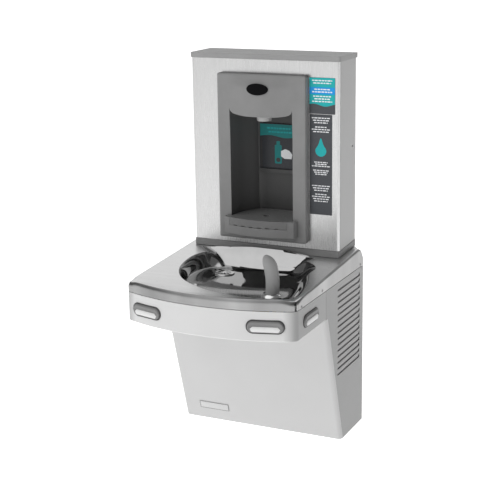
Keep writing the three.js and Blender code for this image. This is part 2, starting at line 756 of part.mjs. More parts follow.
function buildPlumbing() {
  const [fx, fy] = [30, -60];
  add('filter_head', join(
    turned([[0, 345], [30, 345], [38, 335], [38, 322.5], [0, 322.5]], 20, fx, fy),
    box(fx - 60, fx + 60, fy - 8, fy + 8, 326, 342),
    box(fx - 20, fx + 20, fy + 5, -10.5, 328, 388),
  ), FINISH.white);
  add('filter_cartridge', join(
    turned([
      [0, 322], [27, 322], [31, 316], [34, 306], [34, 142], [28, 130], [0, 128],
    ], 24, fx, fy),
    box(fx - 37, fx + 37, fy - 4, fy + 4, 150, 170),
  ), FINISH.white);

  add('inlet_valve', join(
    alongY(circle(11, 14, 85, 95), -60, -6),
    bar(8, 80, 130, 12, 85, -45),
    box(70, 100, -63, -58, 90, 100),
  ), FINISH.brass);

  add('control_box', join(
    box(60, 168, -161, -112, 30, 120),
    box(60, 75, -150, -120, 3, 30.5),
  ), FINISH.black);

  add('bubbler_valve', join(
    box(60, 96, -330, -296, 378, 412),
    alongX(circle(7, 12, -313, 395), 40, 118),
    bar(14, 411, 428, 14, 78, -313),
    box(50, 106, -335, -291, 364.4, 378.5),
  ), FINISH.brass);
  add('bubbler_tube', swept(circle(4, 8), [
    [119.5, -313, 395], [140, -320, 393], [152, -350, 392], [147, -385, 397], [139, -395, 408],
    [139, -395, 419.6],
  ], 14), FINISH.blue);

  add('filler_valve', join(
    box(-20, 20, -100, -66, 884, 918),
    bar(13, 917, 946, 14, 0, -83),
    alongX(circle(7, 12, -83, 901), -42, 42),
    bar(6, 872.2, 885, 12, 0, -83),
  ), FINISH.brass);
  add('filler_tube', swept(circle(4.5, 6), [
    [-43, -83, 901], [-100, -80, 897], [-150, -50, 860], [-158, -40, 760], [-158, -40, 620],
    [-130, -45, 530], [-75, -60, 485], [-80, -78, 440], [-125, -85, 426], [-155, -85, 404],
  ], 22), FINISH.blue);
}

// ---------------------------------------------------------------- tower

function buildTower() {
  const seat = (y) => DECK_AT_WALL + DECK_SLOPE * y + 0.3;
  add('tower_back_plate', alongY(rect(-204, 204, 508.5, TOWER_TOP - 3), -2.5, -1), FINISH.side);

  const half = TOWER_HALF;
  const plan = (inset) => {
    const points = [[half - inset, TOWER_FRONT + EDGE_RADIUS]];
    for (let i = 0; i <= 5; i += 1) {
      const a = -i / 5 * Math.PI / 2;
      const r = EDGE_RADIUS - inset;
      points.push([half - EDGE_RADIUS + r * Math.cos(a), TOWER_FRONT + EDGE_RADIUS + r * Math.sin(a)]);
    }
    return [...points, ...points.map(([x, y]) => [-x, y]).reverse()];
  };
  const front = alongZ([...plan(0), ...plan(SHEET).reverse()], TOWER_BOTTOM + 1, TOWER_TOP - GAP);
  const opening = box(-112.5, 112.5, -130, -110, 526, 942);
  add('tower_front_panel', cut(front, opening), FINISH.steel);

  for (const [name, side] of [['tower_side_left', -1], ['tower_side_right', 1]]) {
    const y0 = TOWER_FRONT + EDGE_RADIUS + GAP;
    const low = (y) => TOWER_BOTTOM + GAP + DECK_SLOPE * (y - TOWER_FRONT);
    const x0 = side > 0 ? half - SHEET : -half;
    add(name, alongX([
      [y0, low(y0)], [-3, low(-3)], [-3, TOWER_TOP - GAP], [y0, TOWER_TOP - GAP],
    ], x0, x0 + SHEET, [circle(3, 12, -25, 760).reverse()]), FINISH.side);
  }

  const capHalf = half + 3;
  const capPlan = (inset) => {
    const points = [[capHalf - inset, -0.3 - inset]];
    const r = 9 - inset;
    for (let i = 0; i <= 4; i += 1) {
      const a = -i / 4 * Math.PI / 2;
      points.push([capHalf - 9 + r * Math.cos(a), TOWER_FRONT + 6 + r * Math.sin(a)]);
    }
    return [...points, ...points.map(([x, y]) => [-x, y]).reverse()];
  };
  add('tower_top_cap', cut(
    alongZ(capPlan(0), TOWER_TOP, CAP_TOP), alongZ(capPlan(4.5), TOWER_TOP - 5, CAP_TOP - 3),
  ), FINISH.grey);

  const trim = alongZ(
    rounded(-half - 1, half + 1, TOWER_FRONT - 1, -0.3, 3, 2), 0,
    TOWER_BOTTOM - seat(TOWER_FRONT), [rounded(-half + 9, half - 9, TOWER_FRONT + 9, -10, 3, 2).reverse()],
  );
  add('tower_bottom_trim', warp(trim, (x, y, z) => [x, y, z + seat(y)]), FINISH.grey);
}

function bezelFace(x, z) {
  const across = Math.min(1, Math.abs(x) / HOOD_HALF);
  const bulge = HOOD_BULGE * Math.cos(across * Math.PI / 2) ** 2 * (1 - 0.7 * smooth(z, 915, BEZEL_TOP));
  const edge = Math.min(BEZEL_HALF - Math.abs(x), BEZEL_TOP - z);
  const lost = Math.max(0, 6 - Math.max(0, edge));
  return BEZEL_FACE - bulge * smooth(z, HOOD_EDGE - 60, HOOD_EDGE) + (6 - Math.sqrt(36 - lost * lost));
}

function alcovePlan(front, inset = 0) {
  const right = ALCOVE_PLAN.map(([x, y]) => [x - inset, y - inset]);
  right[0] = [ALCOVE_PLAN[0][0] - inset, front];
  return [...right, [0, ALCOVE_BACK - inset], ...right.map(([x, y]) => [-x, y]).reverse()];
}

function buildAlcove() {
  const back = -120.4;
  const step = [0, 0.8, 2.5, 6, 14, 36, 58, 80, 102, 124.5];
  const xs = [...step.map((d) => d - BEZEL_HALF), ...step.slice(0, -1).map((d) => BEZEL_HALF - d).reverse()];
  const zs = [HOOD_EDGE - 8, HOOD_EDGE, 880, 915, 932, 944, 947.5, 949.2, BEZEL_TOP];
  const pick = (list, t) => list[Math.round(t * (list.length - 1))];
  const hood = between(xs.length - 1, zs.length - 1,
    (u, v) => [pick(xs, u), bezelFace(pick(xs, u), pick(zs, v)), pick(zs, v)],
    (u, v) => [pick(xs, u), back, pick(zs, v)]);
  const flat = alongZ([
    [-BEZEL_HALF, back], [-BEZEL_HALF, BEZEL_FACE + 6], [-BEZEL_HALF + 1.8, BEZEL_FACE + 1.8],
    [-BEZEL_HALF + 6, BEZEL_FACE], [BEZEL_HALF - 6, BEZEL_FACE], [BEZEL_HALF - 1.8, BEZEL_FACE + 1.8],
    [BEZEL_HALF, BEZEL_FACE + 6], [BEZEL_HALF, back],
  ], BEZEL_BOTTOM, HOOD_EDGE - 6);
  const corners = alongY(rounded(-BEZEL_HALF, BEZEL_HALF, BEZEL_BOTTOM, BEZEL_TOP, BEZEL_ROUND), -200, 0);
  const face = common(join(hood, flat), corners);
  const tunnel = alongZ(alcovePlan(-122, -2.5), TRAY_BOTTOM - 2, ALCOVE_CEILING + 3);
  const cavity = alongZ(alcovePlan(-140.5), TRAY_BOTTOM + 0.5, ALCOVE_CEILING);
  const mouth = alongY([
    [-ALCOVE_HALF, TRAY_BOTTOM + 0.5], [ALCOVE_HALF, TRAY_BOTTOM + 0.5], [ALCOVE_HALF, 862],
    [86, 855], [81, 850], [70, 846], [40, HOOD_EDGE], [-40, HOOD_EDGE], [-70, 846], [-81, 850],
    [-86, 855], [-ALCOVE_HALF, 862],
  ], -220, -138);
  const inside = [];
  for (let i = 0; i <= 16; i += 1) {
    const x = -ALCOVE_HALF + 4 + i * (2 * ALCOVE_HALF - 8) / 16;
    inside.push([x, Math.min(-130, bezelFace(x, 900) + 4)]);
  }
  const behindHood = alongZ([...inside, [84, -125], [-84, -125]], HOOD_EDGE - 20, ALCOVE_CEILING);
  const upper = alongZ([...inside, [84, -100], [-84, -100]], ALCOVE_CEILING + 3, 918);
  const nozzleHole = bar(8, 860, 880, 16, 0, NOZZLE_Y);
  const valveHole = bar(7.5, 860, 880, 12, 0, -83);
  const drainHole = bar(8, 520, 540, 12, 0, -100);
  add('alcove_housing', cut(
    join(face, tunnel), cavity, mouth, behindHood, upper, nozzleHole, valveHole, drainHole,
  ), FINISH.grey);
}

function trayArc(half, inset, steps) {
  const points = [];
  for (let i = 0; i <= steps; i += 1) {
    const x = half * (2 * i / steps - 1);
    points.push([x, TRAY_FRONT + inset + x * x / (2 * TRAY_RADIUS)]);
  }
  return points;
}

function buildTray() {
  const bowed = alongZ([
    [-TRAY_HALF, -146], ...trayArc(TRAY_HALF - 3, 0, 16), [TRAY_HALF, -146], [TRAY_HALF, BEZEL_FACE - GAP],
    [-TRAY_HALF, BEZEL_FACE - GAP],
  ], TRAY_BOTTOM, TRAY_TOP);
  const inner = alongZ(alcovePlan(-142, 0.5), TRAY_BOTTOM + 1.5, TRAY_TOP - 4);
  const pocket = alongZ(alcovePlan(-142, 3), TRAY_BOTTOM + 4, TRAY_TOP + 5);
  const frontPocket = alongZ([
    ...trayArc(INSERT_HALF - 8, 5, 12), [INSERT_HALF - 8, -138], [8 - INSERT_HALF, -138],
  ], TRAY_BOTTOM + 4, TRAY_TOP + 5);
  const lowered = box(-INSERT_HALF, INSERT_HALF, -200, BEZEL_FACE - 1.2, TRAY_SPLIT, TRAY_TOP + 5);
  const outlet = bar(6, 520, 540, 12, 0, -100);
  add('drip_tray', cut(join(bowed, inner), pocket, frontPocket, lowered, outlet), FINISH.tray);

  const top = alongZ([
    ...trayArc(INSERT_HALF - 0.5, 0, 14), [INSERT_HALF - 0.5, -141.6], [ALCOVE_HALF - 3.6, -141.6],
    ...alcovePlan(-141, 3.6).slice(1, -1),
    [3.6 - ALCOVE_HALF, -141.6], [0.5 - INSERT_HALF, -141.6],
  ], TRAY_TOP - 2.6, TRAY_TOP + 0.2);
  const curtain = alongZ([
    ...trayArc(INSERT_HALF - 0.5, 0, 14), ...trayArc(INSERT_HALF - 0.5, 3, 14).reverse(),
  ], TRAY_SPLIT + 0.5, TRAY_TOP);
  const holes = [bar(8.5, 560, 590, 24, 0, -113)];
  for (const [x, y] of [[-53, -109], [53, -109], [-24, -59], [24, -59], [-64, -131], [64, -131]]) {
    holes.push(bar(2, 560, 590, 8, x, y));
  }
  for (let i = 0; i < 6; i += 1) {
    const x = -62.5 + i * 23.5;
    holes.push(box(x - 6, x + 6, -200, -150, TRAY_SPLIT - 2, TRAY_SPLIT + 2.4));
  }
  add('drip_insert', cut(join(top, curtain), ...holes), FINISH.tray);
}

function buildFittings() {
  add('bottle_nozzle', turned([
    [5, 828], [17, 828], [19.5, 831], [19.5, ALCOVE_CEILING - GAP], [7, ALCOVE_CEILING - GAP],
    [7, 880], [5, 880], [5, 828],
  ], 20, 0, NOZZLE_Y), FINISH.white);

  add('sensor_panel', join(
    alongY(rounded(-52, 52, 677, 809, 4, 3), -35.8, -33.1),
    box(-50, 50, -43, -35.5, 677.5, 688),
  ), FINISH.dark);

  const badge = (thickness) => (u, v) => {
    const x = 30 * Math.sin(Math.PI * (u - 0.5) * 0.985);
    const z = 914 + 15 * Math.sqrt(1 - (x / 30) ** 2) * (2 * v - 1);
    return [x, bezelFace(x, Math.min(z, 914)) - 0.45 - 1.2 - thickness, z];
  };
  add('badge', between(16, 2, badge(1.4), badge(0)), FINISH.black);

  const label = (name, x0, x1, z0, z1, colour) => {
    const at = TOWER_FRONT - 0.3;
    add(name, alongY(rounded(x0, x1, z0, z1, 2, 2), at - 0.5, at), colour);
  };
  label('label_upper', 126, 196, 853.5, 945, FINISH.teal);
  label('label_lower', 127, 188, 594, 852.5, FINISH.dark);
}

// ---------------------------------------------------------------- assembly

buildBracket();
buildChassis();
buildSidePanel('side_panel_left', -1);
buildSidePanel('side_panel_right', 1);
buildApron();
buildFrontPanel();
buildBasin();
buildBubbler();
buildLocknut();
buildDrain();
for (const [place, x, turn] of PAD_PLACES) buildPad(place, x, turn);
buildCooling();
buildPlumbing();
buildTower();
buildAlcove();
buildTray();
buildFittings();

export default root;
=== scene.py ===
"""Looks for the wall-hung drinking fountain with a bottle filler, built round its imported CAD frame.

Lengths in the helpers are millimetres, with heights counted from the cabinet's bottom edge.
at() turns them into the frame's metres, whose origin is the hanger bracket, 400 mm higher up.
The front faces -Y and the wall is the plane y = 0.
"""

import json
import math

import bmesh
import bpy
import numpy as np
from mathutils import Matrix, Vector


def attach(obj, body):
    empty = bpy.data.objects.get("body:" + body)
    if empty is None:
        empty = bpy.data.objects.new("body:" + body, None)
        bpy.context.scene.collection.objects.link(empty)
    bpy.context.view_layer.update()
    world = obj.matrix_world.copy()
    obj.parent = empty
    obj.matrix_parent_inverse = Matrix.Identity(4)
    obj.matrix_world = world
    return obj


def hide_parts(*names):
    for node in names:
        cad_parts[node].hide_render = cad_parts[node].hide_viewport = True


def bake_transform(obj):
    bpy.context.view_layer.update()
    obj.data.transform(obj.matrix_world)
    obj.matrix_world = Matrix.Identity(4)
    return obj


MM = 0.001
X, Y, Z = 0, 1, 2
BRACKET_HEIGHT = 400
SHEET = 1.5
WELD = 1e-6  # in metres
SQUARE = ((-1, -1), (1, -1), (1, 1), (-1, 1))
BOX_FACES = ((0, 1, 2, 3), (4, 5, 6, 7), (0, 1, 5, 4), (1, 2, 6, 5), (2, 3, 7, 6), (3, 0, 4, 7))
SIDES = ((-1, "left"), (1, "right"))

CAMERA_TURN = (25.34, 14.65, -0.86)  # azimuth, elevation and roll in degrees
CAMERA_TARGET = (-7.5, -200, 503.65)
CAMERA_DISTANCE = 3.2066  # in metres
CAMERA_LENS = 89.39
FLOOR_HEIGHT = -520
FLOOR_RADIUS = 40  # in metres, as is the dome's
DOME_RADIUS = 36
# how bright the room is from left to right, and from the floor to overhead, as (direction, level)
ACROSS_LIGHT = (
    (-1, 0.12), (-0.74, 0.20), (-0.58, 0.95), (-0.1, 0.90), (0.24, 0.72), (0.42, 0.14), (1, 0.12),
)
UPWARD_LIGHT = ((-1, 0.5), (0, 0.7), (0.3, 0.86), (0.6, 1.0), (1, 1.0))
# how far from the middle, in metres, a finish starts and ends turning to its flank level: painted shade on
# the apron's sides, painted light on the alcove's side walls
APRON_BEND = (0.2, 0.2295)
LINER_BEND = (0.035, 0.066)

HALF_WIDTH = 230
DECK_AT_WALL = 489.5
DECK_SLOPE = 0.0617
DECK_REAR = -0.5
DECK_END = -122.5
DECK_ROWS = 12
SKIRT_BOTTOM = 438.4
FRONT_CENTRE_Y = 84
FRONT_RADIUS = 583
FRONT_CORNER = 22
REAR_TOP_RADIUS = 35
CREST_Y = -128.5
CREST_ROWS = 9
CORNER_ROLL = 6
CORNER_Y = 448
CORNER_NOTCH = ((227, -447.7, 448), (10, 6.5, 24))
TOWER_HOLE = ((0, -60, 485), (180, 70, 50))
BEAD_HEIGHT = 5.5
HUMP_HEIGHT = 12
# (distance in from the edge, share of the bead's height, drop) across the deck's rolled edge
BEAD_PROFILE = (
    (12, 0, 0), (10, 0.12, 0), (8, 0.45, 0), (6, 0.85, 0), (4.6, 1, 0.1), (3, 0.95, 0.5),
    (1.7, 0.8, 1.4), (0.7, 0.6, 2.8), (0.15, 0.4, 4.2), (0, 0.2, 6),
)
BAND_ROWS = 12
BOWL_CENTRE = (20, -300)
DRAIN = (-75, -215)
DRAIN_RADIUS = 22
# (radius, drop below the floor) where the floor turns down into the drain
DRAIN_EDGE = ((DRAIN_RADIUS, 0.9), (DRAIN_RADIUS + 1, 0.4), (DRAIN_RADIUS + 5, 0))
DRAIN_Z = 436.5
STRAINER_SLOTS = 10
FLOOR_SLOPE = 0.035
FLOOR_ROWS = 10
WALL_RUN = 24
WALL_WIDENING = 16
WALL_ROWS = 12
BUBBLER = (139, -395, 449.8)
GUARD_HEIGHT = 93
GUARD_RADIUS = 20
GUARD_WALL = 3
BOWL_RIM = (
    (-100, -150), (-137, -156), (-161, -188), (-169, -236), (-157, -307), (-125, -366),
    (-81, -406), (-17, -438), (39, -452), (100, -458), (160, -450), (202, -437),
    (217, -412), (211, -352), (196, -296), (180, -250), (180, -212), (160, -182),
    (125, -162), (80, -152), (0, -149), (-60, -149),
)
RIM_POINTS = 440

APRON_BOTTOM = 362
APRON_TOP = 437.0
APRON_REAR = -266
APRON_WALL = 2.0
APRON_ROUND = 4.0
APRON_LIP = 20.0
CABINET_FLOOR_Y = -158
PANEL_RETURN = 13
PANEL_ROUND = 12
NAMEPLATE = (-135.5, 43.5)
SCREW_RADIUS = 4.4
SIDE_SCREWS = ((-421, 441), (-290, 445), (-22, 444))
LOUVRES = 15
LOUVRE_PITCH = 16.2
LOUVRE_BOTTOM = 187
LOUVRE_HEIGHT = 9.6
LOUVRE_FRONT = -185
LOUVRE_REAR = -25

PAD_Z = 399.5
PAD_LENGTH = 88.5
PAD_HEIGHT = 29
PAD_TURN = math.radians(15.35)
PAD_SIDE_Y = -365
PAD_PLACES = (
    ("front_left", -160, -PAD_TURN),
    ("front_right", 160, PAD_TURN),
    ("side_left", -HALF_WIDTH, -math.pi / 2),
    ("side_right", HALF_WIDTH, math.pi / 2),
)
PAD_HOLE_MARGIN = 5.8
SLEEVE_MARGIN = 5
# (inset, depth) round the sleeve's section, and over the pad's face
SLEEVE_SECTION = ((0, 14), (0, -0.9), (0.35, -1.3), (0.9, -1.5), (1.5, -1.5), (1.9, -1.2), (1.9, 14))
PAD_SECTION = ((0, 5), (0, -1.5), (0.6, -3.0), (1.8, -4.2), (3.2, -4.8), (4.6, -4.9), (6.0, -4.2))
# (x, z) down the right half of the light inset in a pad
PAD_INSET = ((31, -11.6), (33.5, -10.4), (36.5, -4.6), (36, -3.6), (30, 1.4))

TOWER_HALF = 207
TOWER_FRONT = -120
TOWER_BOTTOM = 500
TOWER_TOP = 985
TOWER_WINDOW = ((0, -120, 734), (225, 20, 416))
EDGE_RADIUS = 7
SIDE_GAP = 2.4
BEZEL_HALF = 124.5
BEZEL_BOTTOM = 516
BEZEL_TOP = 950
BEZEL_FACE = -140
BEZEL_REAR = -120.4
BEZEL_ROUND = 8
BEZEL_EDGE = 6
HOOD_HALF = 112
HOOD_BULGE = 21
HOOD_EDGE = 843
ALCOVE_HALF = 88
ALCOVE_CEILING = 866
ALCOVE_PLAN = ((88, -137), (87, -112), (81, -82), (71, -60), (61, -44), (56, -37), (53.5, -32.6))
ALCOVE_BACK = -31
# (x, z) down the right half of the hood's lower edge, from the side to the middle
MOUTH_ARCH = ((88, 862), (86, 855), (81, 850), (70, 846), (40, 843), (10, 843))
TRAY_BOTTOM = 534
NOZZLE = (0, -117, 828)
BADGE_Z = 914
LABEL_FACE = TOWER_FRONT - 0.3
SENSOR_FACE = -35.86
UPPER_LINES = ((936, 0), (929.5, 1), (914, 2), (907.5, 3), (896.5, 4), (890, 5), (883.5, 0))
LOWER_LINES = (
    842, 836, 830, 819, 813, 807, 729, 724, 719, 708, 703, 698, 668, 662, 656, 646, 640, 634, 628,
)

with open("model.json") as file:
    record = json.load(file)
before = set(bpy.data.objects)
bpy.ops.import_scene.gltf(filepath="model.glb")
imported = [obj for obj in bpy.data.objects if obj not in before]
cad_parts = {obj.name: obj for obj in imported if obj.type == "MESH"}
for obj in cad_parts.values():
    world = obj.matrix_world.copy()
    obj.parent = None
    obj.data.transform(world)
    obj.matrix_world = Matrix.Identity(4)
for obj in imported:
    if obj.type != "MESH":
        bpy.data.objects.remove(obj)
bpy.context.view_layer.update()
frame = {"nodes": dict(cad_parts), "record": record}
nodes = frame["nodes"]
BODY_OF = {
    node: body
    for body, members in frame["record"]["behaviour"]["bodies"].items()
    for node in members
}


# ---- helpers


def at(x, y, z):
    return Vector((x * MM, y * MM, (z - BRACKET_HEIGHT) * MM))


def smooth(value, low, high):
    t = min(1.0, max(0.0, (value - low) / (high - low)))
    return t * t * (3 - 2 * t)


def spline(points, count, closed=True):
    """Points spread along a Catmull-Rom curve through the given points."""
    n = len(points)
    spans = n if closed else n - 1
    out = []
    for k in range(count if closed else count + 1):
        u = k * spans / count
        i = min(int(u), spans - 1)
        t = u - i
        near = [j % n if closed else min(n - 1, max(0, j)) for j in range(i - 1, i + 3)]
        a, b, c, d = (np.array(points[j], float) for j in near)
        out.append(tuple(
            0.5 * (2 * b + (c - a) * t + (2 * a - 5 * b + 4 * c - d) * t**2
                   + (3 * b - a - 3 * c + d) * t**3)
        ))
    return out


def link(obj):
    bpy.context.scene.collection.objects.link(obj)
    return obj


def crease_shading(mesh, angle=35):
    mesh.shade_smooth()
    mesh.set_sharp_from_angle(angle=math.radians(angle))


def make(name, verts, faces, finish, stands_for=None, body="cabinet", angle=35, pick=None):
    """A mesh piece from points in millimetres, riding on a body and standing for a CAD node.

    Its finish is a key of M, or several keys, with pick giving each face's place among them.
    """
    mesh = bpy.data.meshes.new(name)
    mesh.from_pydata([at(*v) for v in verts], [], faces)
    mesh.validate()
    keys = [finish] if isinstance(finish, str) else finish
    for key in keys:
        mesh.materials.append(M[key])
    if pick is not None:
        for face in mesh.polygons:
            face.material_index = pick(face.index)
    bm = bmesh.new()
    bm.from_mesh(mesh)
    bmesh.ops.remove_doubles(bm, verts=bm.verts, dist=WELD)
    bmesh.ops.recalc_face_normals(bm, faces=bm.faces)
    bm.to_mesh(mesh)
    bm.free()
    crease_shading(mesh, angle)
    obj = link(bpy.data.objects.new(name, mesh))
    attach(obj, body)
    if stands_for:
        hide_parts(stands_for)
    return obj


def settle(obj):
    """Applies a piece's modifiers."""
    bpy.context.view_layer.update()
    done = bpy.data.meshes.new_from_object(
        obj.evaluated_get(bpy.context.evaluated_depsgraph_get())
    )
    obj.modifiers.clear()
    obj.data = done


def even_normals(obj):
    """Shades large flat faces flat where they meet small rounded ones."""
    mod = obj.modifiers.new("normals", "WEIGHTED_NORMAL")
    mod.keep_sharp = True
    mod.weight = 100
    settle(obj)


def bevel(obj, width, segments=3, angle=30):
    mod = obj.modifiers.new("edges", "BEVEL")
    mod.width = width * MM
    mod.segments = segments
    mod.limit_method = "ANGLE"
    mod.angle_limit = math.radians(angle)
    mod.use_clamp_overlap = True
    settle(obj)
    crease_shading(obj.data, 40)
    even_normals(obj)


def softened(node, name, width, finish, segments=3, angle=30):
    """A copy of a CAD node with its flat faces merged and its edges rounded; it stands for the node."""
    mesh = nodes[node].data.copy()
    mesh.name = name
    mesh.materials.clear()
    mesh.materials.append(M[finish])
    bm = bmesh.new()
    bm.from_mesh(mesh)
    bmesh.ops.remove_doubles(bm, verts=bm.verts, dist=2 * WELD)
    bmesh.ops.dissolve_limit(
        bm, angle_limit=math.radians(0.6), verts=bm.verts, edges=bm.edges, use_dissolve_boundaries=False
    )
    bm.to_mesh(mesh)
    bm.free()
    obj = link(bpy.data.objects.new(name, mesh))
    bevel(obj, width, segments, angle)
    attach(obj, BODY_OF[node])
    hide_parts(node)
    return obj


def combine(obj, others, operation="DIFFERENCE"):
    """Cuts shapes out of a piece, or joins or crosses them with it, and drops them."""
    for other in others:
        mod = obj.modifiers.new("combine", "BOOLEAN")
        mod.operation = operation
        mod.solver = "EXACT"
        mod.object = other
    settle(obj)
    for other in others:
        bpy.data.objects.remove(other)


def grid_faces(columns, rows, wrap_columns=False, wrap_rows=False):
    faces = []
    for c in range(columns if wrap_columns else columns - 1):
        for r in range(rows if wrap_rows else rows - 1):
            c2 = (c + 1) % columns
            r2 = (r + 1) % rows
            faces.append((c * rows + r, c * rows + r2, c2 * rows + r2, c2 * rows + r))
    return faces


def sheet_faces(columns, rows, wrap=False):
    """Faces of a sheet whose front and back are two grids of points, joined round their edges."""
    front = grid_faces(columns, rows, wrap)
    half = columns * rows
    edges = []
    for c in range(columns if wrap else columns - 1):
        edges += [(c * rows + r, (c + 1) % columns * rows + r) for r in (0, rows - 1)]
    if not wrap:
        for r in range(rows - 1):
            edges += [(c * rows + r, c * rows + r + 1) for c in (0, columns - 1)]
    back = [tuple(half + i for i in reversed(face)) for face in front]
    return front + back + [(a, b, half + b, half + a) for a, b in edges]


def rings_solid(name, rings, finish, stands_for=None, body="cabinet", place=None, angle=35, closed=False):
    """A solid through rings of points with equal counts, capped at both ends or closed on itself."""
    n = len(rings[0])
    verts = [p for ring in rings for p in ring]
    if place:
        verts = [place(*v) for v in verts]
    faces = grid_faces(len(rings), n, closed, True)
    if not closed:
        faces += [tuple(range(n)), tuple(range(len(verts) - n, len(verts)))]
    return make(name, verts, faces, finish, stands_for, body, angle)


def prism(name, outline, axis, ends, finish="bezel", stands_for=None, place=None):
    """A straight solid between two places on an axis, with its outline across that axis."""
    rings = [[(*p[:axis], end, *p[axis:]) for p in outline] for end in ends]
    return rings_solid(name, rings, finish, stands_for, place=place)


def lathe(name, profile, centre, finish, stands_for, segments, closed=False):
    """A turned piece about a vertical axis; the profile is (radius, height above the centre) pairs."""
    x, y, z = centre
    verts = []
    for c in range(segments):
        a = 2 * math.pi * c / segments
        verts += [(x + r * math.cos(a), y + r * math.sin(a), z + high) for r, high in profile]
    return make(name, verts, grid_faces(segments, len(profile), True, closed), finish, stands_for)


def box_points(x, y, z, width, depth, height):
    """Corners of a box about a centre, in the order that BOX_FACES expects."""
    out = []
    for side in (-1, 1):
        for v, w in SQUARE:
            out.append((x + side * width / 2, y + v * depth / 2, z + w * height / 2))
    return out


def box_mesh(centre, size):
    mesh = bpy.data.meshes.new("cutter")
    bm = bmesh.new()
    bmesh.ops.create_cube(bm, size=1)
    for v in bm.verts:
        v.co = at(centre[0] + v.co.x * size[0], centre[1] + v.co.y * size[1], centre[2] + v.co.z * size[2])
    bm.to_mesh(mesh)
    bm.free()
    return link(bpy.data.objects.new("cutter", mesh))


def arc(cx, cy, radius, start, end, steps):
    """Points along an arc between two angles, with both its ends."""
    turns = [start + (end - start) * i / steps for i in range(steps + 1)]
    return [(cx + radius * math.cos(a), cy + radius * math.sin(a)) for a in turns]


def rounded_rect(x0, x1, z0, z1, radius, steps=8):
    points = []
    corners = ((x1 - radius, z0 + radius), (x1 - radius, z1 - radius),
               (x0 + radius, z1 - radius), (x0 + radius, z0 + radius))
    for corner, (cx, cz) in enumerate(corners):
        start = (corner - 1) * math.pi / 2
        points += arc(cx, cz, radius, start, start + math.pi / 2, steps)
    return points


def ellipse(cx, cz, half_width, half_height, count):
    turns = [2 * math.pi * i / count for i in range(count)]
    return [(cx + half_width * math.cos(a), cz + half_height * math.sin(a)) for a in turns]


def obround(length, height, inset=0.0, steps=20):
    """(x, z) outline of a slot shape centred on the origin."""
    points = []
    for side in (1, -1):
        start = -side * math.pi / 2
        points += arc(side * (length - height) / 2, 0, height / 2 - inset, start, start + math.pi, steps)
    return points


def turned(points, centre, angle):
    """Points turned about the origin, then moved to a centre."""
    c, s = math.cos(angle), math.sin(angle)
    return [(centre[0] + u * c - w * s, centre[1] + u * s + w * c) for u, w in points]


def mirrored(right):
    """An outline from its right half."""
    return [*right, *((-x, v) for x, v in reversed(right))]


def bent_sheet(half, front, radius, rear, steps=14):
    """(x, y) outline of a sheet that is bent round two front corners, seen from above."""
    skins = []
    for inset in (0, SHEET):
        right = [(half - inset, rear)] if rear > front + radius else []
        right += arc(half - radius, front + radius, radius - inset, 0, -math.pi / 2, steps)
        skins.append(mirrored(right))
    return skins[0] + skins[1][::-1]


def plate(name, outline, y_back, y_front, finish, bevel_by=0.0, stands_for=None, body="cabinet", place=None):
    """A flat plate facing -Y: an (x, z) outline between two depths, its front edge eased."""
    cx = sum(p[0] for p in outline) / len(outline)
    cz = sum(p[1] for p in outline) / len(outline)
    if bevel_by:
        levels = arc(bevel_by, y_front + bevel_by, bevel_by, math.pi, 1.5 * math.pi, 4)
    else:
        levels = [(0, y_front)]
    rings = []
    for inset, y in [(0, y_back)] + levels:
        ring = []
        for x, z in outline:
            length = math.hypot(x - cx, z - cz) or 1
            ring.append((x - (x - cx) / length * inset, y, z - (z - cz) / length * inset))
        rings.append(ring)
    return rings_solid(name, rings, finish, stands_for, body, place)


# ---- materials


def grey(level):
    """Linear value of an 8-bit display grey."""
    c = level / 255
    return c / 12.92 if c <= 0.04045 else ((c + 0.055) / 1.055) ** 2.4


def rgb(r, g, b):
    return (grey(r), grey(g), grey(b), 1.0)


def add_node(tree, kind, **inputs):
    """A shader node with its inputs linked or set; an input's name has underscores for its spaces."""
    node = tree.nodes.new(f"ShaderNode{kind}")
    for key, value in inputs.items():
        socket = node.inputs[key.replace("_", " ")]
        if isinstance(value, bpy.types.NodeSocket):
            tree.links.new(value, socket)
        else:
            socket.default_value = value
    return node


